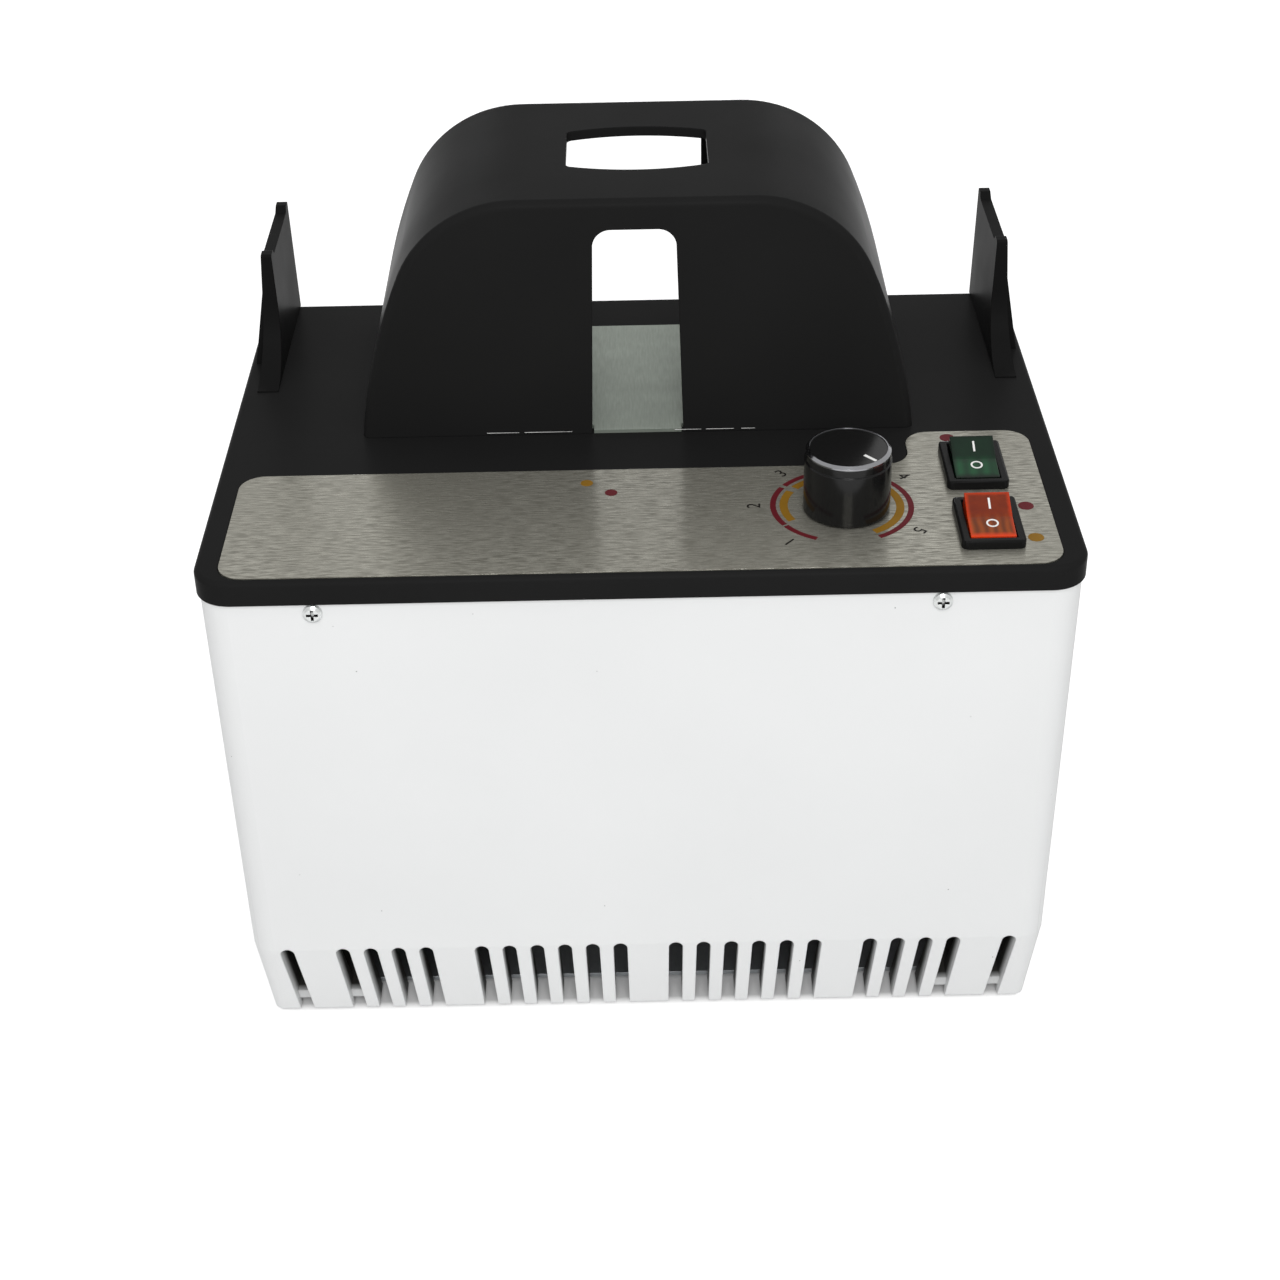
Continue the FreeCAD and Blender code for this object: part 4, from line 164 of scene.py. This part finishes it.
# Grain and scratches are really 0.02 to 0.1 mm across and are drawn coarser here, so that they show
plastics = {
    # moulded white ABS: even and matt, a few regrind specks, with painted shade inside the shell and deep in the comb
    "whiteAbs": dict(colour="#eff0f0", shade="#e8e9e9", cloudSize=60, grainSize=0.5, grainDepth=0.01,
                     edgeRadius=0.5, roughness=0.5, gloss=0.35, ior=1.53,
                     speckColour="#8d8f8e", speckSpacing=2.2, speckSize=0.16, speckShare=0.02,
                     innerShadeColour="#33322f", halfWidth=(99.9, 103.1), halfDepth=(69.4, 72.6), skirt=(2, 25),
                     shadeFrom=1.5, shadeTo=5.0),
    # moulded black ABS from a spark-eroded mould: nearly matt, soft edges
    "blackAbs": dict(colour="#232323", shade="#1e1e1e", cloudSize=40, grainSize=0.45, grainDepth=0.008,
                     edgeRadius=0.5, roughness=0.34, gloss=0.007, ior=1.53),
    # polished-mould black plastic of a knob: sharp reflections
    "blackGloss": dict(colour="#191919", shade="#141414", cloudSize=30, grainSize=0.8, grainDepth=0.003,
                       edgeRadius=0.4, roughness=0.15, gloss=0.2, ior=1.53),
    # moulded black ABS of the end plates: satin and dark
    "satinBlackAbs": dict(colour="#1c1c1c", shade="#171717", cloudSize=30, grainSize=0.5, grainDepth=0.006,
                          edgeRadius=0.4, roughness=0.4, gloss=0.01, ior=1.53),
    # glass-filled nylon of a snap-in part: dull with a soft shine
    "blackNylon": dict(colour="#191919", shade="#141414", cloudSize=20, grainSize=0.4, grainDepth=0.006,
                       edgeRadius=0.3, roughness=0.3, gloss=0.05, ior=1.53),
    # moulded rubber: rough, no shine
    "blackRubber": dict(colour="#1f1f1f", shade="#181818", cloudSize=10, grainSize=0.6, grainDepth=0.03,
                        edgeRadius=0.3, roughness=0.85, gloss=0.2, ior=1.52),
    # printed white paint: opaque, slightly uneven
    "whitePaint": dict(colour="#f4f4f2", shade="#e8e8e6", cloudSize=4, grainSize=0.2, grainDepth=0.004,
                       edgeRadius=0.05, roughness=0.45, gloss=0.4, ior=1.5),
    # screen-printed red ink on metal foil
    "darkRedInk": dict(colour="#641f26", shade="#581a20", cloudSize=6, grainSize=0.25, grainDepth=0.004,
                       edgeRadius=0.05, roughness=0.5, gloss=0.08, ior=1.5),
    # screen-printed ochre ink on metal foil
    "ochreInk": dict(colour="#8f6a22", shade="#7f5c1b", cloudSize=6, grainSize=0.25, grainDepth=0.004,
                     edgeRadius=0.05, roughness=0.5, gloss=0.08, ior=1.5),
    # screen-printed black ink on metal foil
    "blackInk": dict(colour="#1b1816", shade="#151211", cloudSize=6, grainSize=0.25, grainDepth=0.004,
                     edgeRadius=0.05, roughness=0.5, gloss=0.08, ior=1.5),
    # moulded black PBT of a fan: coarse and matt
    "blackPbt": dict(colour="#202020", shade="#191919", cloudSize=18, grainSize=0.5, grainDepth=0.02,
                     edgeRadius=0.3, roughness=0.6, gloss=0.4, ior=1.57),
    # pressed mica: tan and flaky
    "micaSheet": dict(colour="#b8a988", shade="#9d8c68", cloudSize=9, grainSize=0.7, grainDepth=0.03,
                      edgeRadius=0.1, roughness=0.45, gloss=0.5, ior=1.58),
    # green lacquered glass epoxy: smooth, mottled
    "epoxyGlassBoard": dict(colour="#1e5a2d", shade="#184b26", cloudSize=8, grainSize=0.4, grainDepth=0.02,
                            edgeRadius=0.1, roughness=0.35, gloss=0.5, ior=1.55),
    # dipped yellow polyester: smooth and shiny
    "yellowPolyester": dict(colour="#d8b22c", shade="#c9a222", cloudSize=6, grainSize=0.5, grainDepth=0.01,
                            edgeRadius=0.4, roughness=0.35, gloss=0.5, ior=1.57),
    # sprayed black stove paint on sheet steel: slightly rough
    "heatproofPaint": dict(colour="#1d1d1c", shade="#151514", cloudSize=14, grainSize=0.4, grainDepth=0.02,
                           edgeRadius=0.15, roughness=0.5, gloss=0.4, ior=1.5),
    # varnished steel laminations: brown, uneven gloss
    "varnishedCore": dict(colour="#5d4a35", shade="#43331f", cloudSize=7, grainSize=0.6, grainDepth=0.04,
                          edgeRadius=0.2, roughness=0.45, gloss=0.5, ior=1.5),
}
metals = {
    # brushed steel foil: fine streaks along X, wide soft highlight across them
    "brushedSteelFoil": dict(colour="#b3b1a6", shade="#5c5a52", tarnish="#86847a", stretch=(0.09, 1, 1), lineWidth=0.4,
                             lineDepth=0.004, cloudSize=50, edgeRadius=0.1, roughness=0.3, metallic=0.7,
                             anisotropic=0.9, contrast=0.08),
    # cold-rolled sheet steel, oiled: grey-green, smudged, no clear reflection
    "dullSheetSteel": dict(colour="#a0a89e", shade="#949c92", tarnish="#7f877d", stretch=(1, 0.1, 1), lineWidth=0.5,
                           lineDepth=0.004, cloudSize=14, edgeRadius=0.1, roughness=0.5, metallic=0.5,
                           anisotropic=0.0),
    # hot-dip galvanised sheet: pale spangle
    "galvanisedSteel": dict(colour="#b9bcbe", shade="#a2a6a9", tarnish="#8f9497", stretch=(1, 1, 1), lineWidth=6,
                            lineDepth=0.01, cloudSize=20, edgeRadius=0.15, roughness=0.4, metallic=0.9,
                            anisotropic=0.0),
    # bright zinc plating on screws: white shine, painted shade in the cross
    "brightZinc": dict(colour="#d6d8d8", shade="#bfc2c3", tarnish="#c4c6c4", stretch=(1, 1, 1), lineWidth=0.4,
                       lineDepth=0.004, cloudSize=4, edgeRadius=0.15, roughness=0.25, metallic=1.0,
                       anisotropic=0.0, recessShade="#141412", recessShadeReach=1.2,
                       recessShadeFrom=0.45, recessShadeTo=0.8),
    # diamond-turned aluminium: bright, with fine turning lines
    "turnedAluminium": dict(colour="#9b9c9e", shade="#7f8083", tarnish="#88888b", stretch=(1, 1, 14), lineWidth=0.5,
                            lineDepth=0.002, cloudSize=6, edgeRadius=0.1, roughness=0.14, metallic=1.0,
                            anisotropic=0.0),
    # rolled brass strip: yellow, fine rolling lines
    "rolledBrass": dict(colour="#c9a85c", shade="#b28f45", tarnish="#a7854a", stretch=(1, 0.1, 1), lineWidth=0.4,
                        lineDepth=0.004, cloudSize=5, edgeRadius=0.1, roughness=0.3, metallic=1.0,
                        anisotropic=0.0),
    # oxidised heating ribbon: grey-brown and dull
    "resistanceRibbon": dict(colour="#8a8178", shade="#6f6760", tarnish="#5d5a5a", stretch=(1, 1, 0.1), lineWidth=0.4,
                             lineDepth=0.006, cloudSize=5, edgeRadius=0.1, roughness=0.45, metallic=1.0,
                             anisotropic=0.0),
    # anodised extrusion: black with fine draw lines
    "blackAnodised": dict(colour="#2c2c2e", shade="#222224", tarnish="#28282a", stretch=(1, 1, 0.05), lineWidth=0.4,
                          lineDepth=0.006, cloudSize=8, edgeRadius=0.15, roughness=0.42, metallic=0.6,
                          anisotropic=0.0),
}
finishes = {name: mouldedPlastic(name, look) for name, look in plastics.items()}
finishes.update({name: workedMetal(name, look) for name, look in metals.items()})


# Moulded polycarbonate lens, coloured through, with painted light and shade: a lighter lower half with ribs, and a
# painted rim colour, dark on the green lens and bright on the orange
def tintedLens(name, node, look):
    material, tree = newTree(name)
    low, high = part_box(node)
    middle = [-(a + b) / 2 for a, b in zip(low, high)]
    place = add(tree, "ShaderNodeTexCoord").outputs["Object"]
    centred = add(tree, "ShaderNodeMapping", {"Vector": place, "Location": middle})
    axes = add(tree, "ShaderNodeSeparateXYZ", {"Vector": centred.outputs[0]})
    cloud = add(tree, "ShaderNodeTexNoise", {"Vector": place, "Scale": perMetre(look["cloudSize"]), "Detail": 3.0})
    ribs = add(tree, "ShaderNodeTexWave", {"Vector": place, "Scale": perMetre(look["ribPitch"]) / math.tau,
                                           "Distortion": 1.5, "Detail": 1.0}, bands_direction="X")
    drift = add(tree, "ShaderNodeMath", {0: cloud.outputs["Fac"], 1: look["drift"] * mm}, operation="MULTIPLY")
    lower = add(tree, "ShaderNodeMath", {0: axes.outputs["Y"], 1: drift.outputs[0]}, operation="ADD")
    half = add(tree, "ShaderNodeMapRange", {"Value": lower.outputs[0], "From Min": look["lowerFrom"] * mm,
                                            "From Max": look["lowerTo"] * mm})
    ribbed = add(tree, "ShaderNodeMix", {0: ribs.outputs["Fac"], 6: linear(look["lowerColour"]),
                                         7: linear(look["ribColour"])}, data_type="RGBA")
    upper = add(tree, "ShaderNodeMix", {0: cloud.outputs["Fac"], 6: linear(look["upperColour"]),
                                        7: linear(look["upperShade"])}, data_type="RGBA")
    inside = add(tree, "ShaderNodeMix", {0: half.outputs[0], 6: upper.outputs[2], 7: ribbed.outputs[2]},
                 data_type="RGBA")
    nearest = []
    for axis, size in (("X", (high[0] - low[0]) / 2), ("Y", (high[1] - low[1]) / 2)):
        reach = add(tree, "ShaderNodeMath", {0: axes.outputs[axis]}, operation="ABSOLUTE")
        nearest.append(add(tree, "ShaderNodeMath", {0: size, 1: reach.outputs[0]}, operation="SUBTRACT").outputs[0])
    rim = add(tree, "ShaderNodeMath", {0: nearest[0], 1: nearest[1]}, operation="MINIMUM")
    wobble = add(tree, "ShaderNodeMath", {0: rim.outputs[0], 1: drift.outputs[0]}, operation="SUBTRACT")
    edge = add(tree, "ShaderNodeMapRange", {"Value": wobble.outputs[0], "From Min": look["edgeWidth"] * mm,
                                            "From Max": 0.0})
    colour = add(tree, "ShaderNodeMix", {0: edge.outputs[0], 6: inside.outputs[2], 7: linear(look["edgeColour"])},
                 data_type="RGBA")
    soft = add(tree, "ShaderNodeBevel", {"Radius": look["edgeRadius"] * mm}, samples=4)
    surface = add(tree, "ShaderNodeBsdfPrincipled",
                  {"Base Color": colour.outputs[2], "Roughness": look["roughness"], "IOR": look["ior"],
                   "Specular IOR Level": look["gloss"], "Normal": soft.outputs[0]})
    add(tree, "ShaderNodeOutputMaterial", {"Surface": surface.outputs[0]})
    return material


moulded = dict(drift=0.5, lowerFrom=1.2, lowerTo=-2.0, edgeRadius=0.4, roughness=0.12, ior=1.58, gloss=0.12)
# painted light and shade: the green lens is painted dark at its top and rim, lighter below
finishes["greenLens"] = tintedLens("greenLens", "power_switch_rocker", dict(
    upperColour="#0d2116", upperShade="#112c1c", lowerColour="#164b2c", ribColour="#0e3720", edgeColour="#08150c",
    cloudSize=3, ribPitch=1.6, edgeWidth=1.8, **moulded))
# painted light: the orange lens is painted bright at its rim and lighter below
finishes["orangeLens"] = tintedLens("orangeLens", "temperature_switch_rocker", dict(
    upperColour="#64200e", upperShade="#84300f", lowerColour="#8e4212", ribColour="#6a3010", edgeColour="#dd3d0b",
    cloudSize=2, ribPitch=1.1, edgeWidth=1.6, **moulded))
print("finishes: %d" % len(finishes))

nodeFinish = {
    "lower_housing": "whiteAbs", "base_plate": "galvanisedSteel", "rubber_feet": "blackRubber",
    "top_cover": "blackAbs", "air_hood": "blackAbs", "channel_floor_plate": "dullSheetSteel",
    "left_air_duct": "heatproofPaint", "right_air_duct": "heatproofPaint",
    "left_portal_grille": "heatproofPaint", "right_portal_grille": "heatproofPaint",
    "left_cradle": "satinBlackAbs", "right_cradle": "satinBlackAbs", "control_panel": "brushedSteelFoil",
    "base_screws": "brightZinc", "cover_screws": "brightZinc", "hood_screws": "brightZinc",
    "inlet_screws": "brightZinc", "potentiometer_body": "galvanisedSteel", "potentiometer_nut": "brightZinc",
    "potentiometer_shaft": "turnedAluminium", "knob_body": "blackGloss", "knob_ring": "turnedAluminium",
    "knob_pointer": "whitePaint", "power_switch_body": "blackNylon", "temperature_switch_body": "blackNylon",
    "power_switch_rocker": "greenLens", "temperature_switch_rocker": "orangeLens",
    "power_switch_terminals": "rolledBrass", "temperature_switch_terminals": "rolledBrass",
    "fan_frame": "blackPbt", "fan_motor_core": "varnishedCore", "fan_bearing": "rolledBrass",
    "fan_impeller": "blackPbt", "fan_shaft": "brightZinc", "fan_standoffs": "turnedAluminium",
    "heater_shroud": "galvanisedSteel", "heater_frame": "micaSheet", "heater_coils": "resistanceRibbon",
    "thermal_cutout": "brightZinc", "air_splitter": "galvanisedSteel", "control_board": "epoxyGlassBoard",
    "board_standoffs": "turnedAluminium", "triac_heatsink": "blackAnodised", "board_capacitor": "yellowPolyester",
    "power_inlet": "blackNylon", "inlet_pins": "rolledBrass",
}
for name, node in nodes.items():
    node.data.materials.clear()
    node.data.materials.append(finishes[nodeFinish[name]])
slotOf = {part["node"]: part["material_slot"] for part in frame["record"]["subparts"]}


def finishPiece(bm, name, finish, body):  # the bmesh becomes a piece that rides a body
    mesh = bpy.data.meshes.new(name)
    bm.normal_update()
    bm.to_mesh(mesh)
    bm.free()
    mesh.materials.append(finishes[finish])
    piece = bpy.data.objects.new(name, mesh)
    bpy.context.scene.collection.objects.link(piece)
    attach(piece, body)
    return piece


# Printed scale round the dial: two concentric bands, broken into ranges
dial = dict(x=49, y=-44.6, face=139.2, ink=0.04, redInner=16.0, redOuter=17.4, ochreInner=13.1, ochreOuter=15.1,
            redRanges=[(70, -62.6), (-115.4, -147.5), (-149.5, 146.5), (142.5, 100)],
            ochreRanges=[(70, -61.7), (-152.4, 148.7), (140.3, 100)])


def band(bm, inner, outer, start, end):  # a flat arc, clockwise from start to end
    centre = Vector((dial["x"] * mm, dial["y"] * mm, dial["face"] * mm))
    sweep = math.radians((start - end) % 360)
    direction = Vector((math.cos(math.radians(end)), math.sin(math.radians(end)), 0))
    foot = bm.verts.new(centre + direction * inner * mm)
    tip = bm.verts.new(centre + direction * outer * mm)
    edge = bm.edges.new((foot, tip))
    bmesh.ops.spin(bm, geom=[foot, tip, edge], cent=centre, axis=(0, 0, 1), angle=sweep,
                   steps=max(6, int(math.degrees(sweep) / 3)))  # one step for each 3 degrees


def thicken(bm, depth):  # raise every face by a layer of ink
    raised = bmesh.ops.extrude_face_region(bm, geom=list(bm.faces))
    lifted = [item for item in raised["geom"] if isinstance(item, bmesh.types.BMVert)]
    bmesh.ops.translate(bm, vec=(0, 0, depth * mm), verts=lifted)
    bmesh.ops.recalc_face_normals(bm, faces=list(bm.faces))


for name, ranges, inner, outer, finish in (
        ("dial_band_red", "redRanges", "redInner", "redOuter", "darkRedInk"),
        ("dial_band_ochre", "ochreRanges", "ochreInner", "ochreOuter", "ochreInk")):
    bm = bmesh.new()
    for start, end in dial[ranges]:
        band(bm, dial[inner], dial[outer], start, end)
    thicken(bm, dial["ink"])
    finishPiece(bm, name, finish, "base")
print("dial scale")

# Round ink spots beside the switches and left of the dial
spots = dict(face=139.2, ink=0.04, red=[(93.3, -46.4, 1.9), (78.5, -11.7, 1.9), (-6.9, -36.1, 1.55)],
             ochre=[(93.5, -61.1, 1.9), (-12.9, -31.2, 1.55)])
for colour, finish in (("red", "darkRedInk"), ("ochre", "ochreInk")):
    bm = bmesh.new()
    for x, y, radius in spots[colour]:
        bmesh.ops.create_circle(bm, cap_ends=True, segments=40, radius=radius * mm,
                                matrix=Matrix.Translation((x * mm, y * mm, spots["face"] * mm)))
    thicken(bm, spots["ink"])
    finishPiece(bm, "panel_spots_" + colour, finish, "base")
print("panel spots")

# Switch bodies with their bezels' outer corners rounded, one tangent cut at a time
bezel = dict(cornerRadius=1.8, cuts=6)
for nodeName in ("power_switch_body", "temperature_switch_body"):
    low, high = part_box(nodeName)
    radius = bezel["cornerRadius"] * mm
    bm = bmesh.new()
    bm.from_mesh(nodes[nodeName].data)
    bmesh.ops.remove_doubles(bm, verts=list(bm.verts), dist=0.001 * mm)
    for step in range(4 * bezel["cuts"]):
        angle = (step + 0.5) * math.tau / (4 * bezel["cuts"])
        outward = Vector((math.cos(angle), math.sin(angle), 0))
        centre = Vector((high.x - radius if outward.x > 0 else low.x + radius,
                         high.y - radius if outward.y > 0 else low.y + radius, 0))
        cut = bmesh.ops.bisect_plane(bm, geom=list(bm.verts) + list(bm.edges) + list(bm.faces), dist=0.0001 * mm,
                                     plane_co=centre + outward * radius, plane_no=outward, clear_outer=True)
        rim = [item for item in cut["geom_cut"] if isinstance(item, bmesh.types.BMEdge)]
        bmesh.ops.holes_fill(bm, edges=rim, sides=0)
    piece = finishPiece(bm, nodeName.replace("body", "bezel"), "blackNylon", "base")
    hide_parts(nodeName)
print("switch bezels")

# Moulded-in I and O on each rocker, laid on its sloping faces
marks = dict(x=83.3, bar=(0.5, 3.2), barY=3.0, ringY=-3.4, ringRadius=1.5, ringLine=0.45, ink=0.05)


def layOn(bm, node):  # drop every vertex onto the node's upper surface
    tree = BVHTree.FromPolygons([v.co for v in node.data.vertices], [p.vertices for p in node.data.polygons])
    for vertex in bm.verts:
        spot = tree.ray_cast(Vector((vertex.co.x, vertex.co.y, 1.0)), Vector((0, 0, -1)))[0]
        vertex.co.z = spot.z


for nodeName, body, slot, pivotY in (("power_switch_rocker", "power_rocker", "rocker_green", -27.6),
                                     ("temperature_switch_rocker", "temperature_rocker", "rocker_orange", -55.6)):
    bm = bmesh.new()
    bmesh.ops.create_grid(bm, x_segments=1, y_segments=4, size=0.5,
                          matrix=Matrix.Translation((marks["x"] * mm, (pivotY + marks["barY"]) * mm, 0)) @
                          Matrix.Diagonal((marks["bar"][0] * mm, marks["bar"][1] * mm, 1, 1)))
    centre = Vector((marks["x"] * mm, (pivotY + marks["ringY"]) * mm, 0))
    inner = bm.verts.new(centre + Vector(((marks["ringRadius"] - marks["ringLine"]) * mm, 0, 0)))
    outer = bm.verts.new(centre + Vector((marks["ringRadius"] * mm, 0, 0)))
    edge = bm.edges.new((inner, outer))
    bmesh.ops.spin(bm, geom=[inner, outer, edge], cent=centre, axis=(0, 0, 1), angle=math.tau, steps=32,
                   use_merge=True)
    layOn(bm, nodes[nodeName])
    thicken(bm, marks["ink"])
    finishPiece(bm, nodeName.replace("rocker", "marks"), "whitePaint", body)
print("rocker marks")

# Plain numbers printed round the dial, their feet towards its centre
numbers = dict(height=3.4, radius=21.2, ink=0.04, angles=(-130, 178, 130, 40, -35))
bm = bmesh.new()
for count, angle in enumerate(numbers["angles"], 1):
    text = bpy.data.curves.new("number", "FONT")
    text.body = str(count)
    text.size = numbers["height"] * 1.4 * mm
    text.align_x = "CENTER"
    text.align_y = "CENTER"
    text.resolution_u = 4
    holder = bpy.data.objects.new("number", text)
    printed = bpy.data.meshes.new_from_object(holder)
    out = Vector((math.cos(math.radians(angle)), math.sin(math.radians(angle)), 0))
    printed.transform(Matrix.Translation(Vector((dial["x"] * mm, dial["y"] * mm, dial["face"] * mm)) +
                                         out * numbers["radius"] * mm) @
                      Matrix.Rotation(math.radians(angle - 90), 4, "Z"))
    bm.from_mesh(printed)
    bpy.data.objects.remove(holder)
    bpy.data.meshes.remove(printed)
    bpy.data.curves.remove(text)
bmesh.ops.remove_doubles(bm, verts=list(bm.verts), dist=0.01 * mm)
thicken(bm, numbers["ink"])
finishPiece(bm, "dial_numbers", "blackInk", "base")
print("dial numbers")

# Painted highlight: broken thin white lines along the hood's front foot, where glints show, built as a white bead
glintLine = dict(y=-6.1, z=140.1, radius=0.07,
            runs=((-38.6, -30.4), (-29.0, -16.8), (9.4, 16.2), (17.4, 24.6), (26.5, 30.0)))
bm = bmesh.new()
for start, end in glintLine["runs"]:
    bmesh.ops.create_cone(bm, cap_ends=True, segments=8, radius1=glintLine["radius"] * mm, radius2=glintLine["radius"] * 0.6 * mm,
                          depth=(end - start) * mm,
                          matrix=Matrix.Translation(((start + end) / 2 * mm, glintLine["y"] * mm, glintLine["z"] * mm)) @
                          Matrix.Rotation(math.radians(90), 4, "Y"))
finishPiece(bm, "hood_foot_glint_line", "whitePaint", "base")
print("hood foot bead")

# White floor: white to the eye and to reflections; its glow is turned down by position under the object's foot, a
# painted shadow, on top of the real shadow in its matt part
stage = dict(size=8.0, colour="#ffffff", matt="#e0e0e0", halfFoot=(98.9, 68.4), fade=(-3, 0), glow=(0.05, 0.6))
bm = bmesh.new()
bmesh.ops.create_grid(bm, x_segments=1, y_segments=1, size=stage["size"] / 2)
floorMesh = bpy.data.meshes.new("floor")
bm.to_mesh(floorMesh)
bm.free()
floor = bpy.data.objects.new("floor", floorMesh)
bpy.context.scene.collection.objects.link(floor)
floorMaterial, tree = newTree("studioFloor")
rays = add(tree, "ShaderNodeLightPath")
seen = add(tree, "ShaderNodeMath", {0: rays.outputs["Is Camera Ray"], 1: rays.outputs["Is Glossy Ray"]},
           operation="MAXIMUM")
shown = add(tree, "ShaderNodeMath", {0: seen.outputs[0], 1: rays.outputs["Is Transmission Ray"]}, operation="MAXIMUM")
matt = add(tree, "ShaderNodeBsdfDiffuse", {"Color": linear(stage["matt"])})
place = add(tree, "ShaderNodeNewGeometry")
spread = add(tree, "ShaderNodeVectorMath", {0: place.outputs["Position"]}, operation="ABSOLUTE")
beyond = add(tree, "ShaderNodeVectorMath", {0: spread.outputs[0], 1: [v * mm for v in stage["halfFoot"]] + [0]},
             operation="SUBTRACT")
sides = add(tree, "ShaderNodeSeparateXYZ", {0: beyond.outputs[0]})
past = add(tree, "ShaderNodeMath", {0: sides.outputs[0], 1: sides.outputs[1]}, operation="MAXIMUM")
# painted shadow: the glow falls from its full strength outside the foot to a low one under the object
glow = add(tree, "ShaderNodeMapRange", {"Value": past.outputs[0], "From Min": stage["fade"][0] * mm,
                                        "From Max": stage["fade"][1] * mm, "To Min": stage["glow"][0],
                                        "To Max": stage["glow"][1]})
white = add(tree, "ShaderNodeEmission", {"Color": linear(stage["colour"]), "Strength": glow.outputs[0]})
lit = add(tree, "ShaderNodeAddShader", {0: matt.outputs[0], 1: white.outputs[0]})
choice = add(tree, "ShaderNodeMixShader", {0: shown.outputs[0], 1: matt.outputs[0], 2: lit.outputs[0]})
add(tree, "ShaderNodeOutputMaterial", {"Surface": choice.outputs[0]})
floorMesh.materials.append(floorMaterial)

sky = dict(colour="#ffffff", light=0.5, seen=1.0)  # light on the object, and what eye and reflections see
world = bpy.data.worlds.new("studio")
bpy.context.scene.world = world
world.use_nodes = True
world.node_tree.nodes.clear()
tree = world.node_tree
rays = add(tree, "ShaderNodeLightPath")
seen = add(tree, "ShaderNodeMath", {0: rays.outputs["Is Camera Ray"], 1: rays.outputs["Is Glossy Ray"]},
           operation="MAXIMUM")
shown = add(tree, "ShaderNodeMath", {0: seen.outputs[0], 1: rays.outputs["Is Transmission Ray"]}, operation="MAXIMUM")
dim = add(tree, "ShaderNodeBackground", {"Color": linear(sky["colour"]), "Strength": sky["light"]})
bright = add(tree, "ShaderNodeBackground", {"Color": linear(sky["colour"]), "Strength": sky["seen"]})
mixed = add(tree, "ShaderNodeMixShader", {0: shown.outputs[0], 1: dim.outputs[0], 2: bright.outputs[0]})
add(tree, "ShaderNodeOutputWorld", {"Surface": mixed.outputs[0]})

lamps = {
    "frontBox": dict(place=(0.02, -0.85, 0.75), aim=(0, 0, 0.08), size=(0.35, 0.5), power=5.2),
    "topBox": dict(place=(0.1, -0.1, 1.5), aim=(0, 0.0, 0.15), size=(1.0, 0.8), power=3),
    "rearBox": dict(place=(0, 1.4, 0.12), aim=(0, 0, 0.08), size=(0.6, 0.2), power=5),
}
for name, lamp in lamps.items():
    data = bpy.data.lights.new(name, "AREA")
    data.shape = "RECTANGLE"
    data.size, data.size_y = lamp["size"]
    data.energy = lamp["power"]
    light = bpy.data.objects.new(name, data)
    light.location = lamp["place"]
    light.rotation_euler = (Vector(lamp["aim"]) - Vector(lamp["place"])).to_track_quat("-Z", "Y").to_euler()
    bpy.context.scene.collection.objects.link(light)

view = dict(place=(-0.63, -522.6, 420.6), turn=(56.248, 0.949, -0.645), lens=64.30)
camera = bpy.data.objects.new("camera", bpy.data.cameras.new("camera"))
camera.location = [v * mm for v in view["place"]]
camera.rotation_euler = [math.radians(a) for a in view["turn"]]
camera.data.lens = view["lens"]
camera.data.sensor_width = 36
camera.data.clip_start = 0.01
bpy.context.scene.collection.objects.link(camera)
bpy.context.scene.camera = camera
bpy.context.scene.view_settings.view_transform = "Standard"
print("stage, lamps, camera")
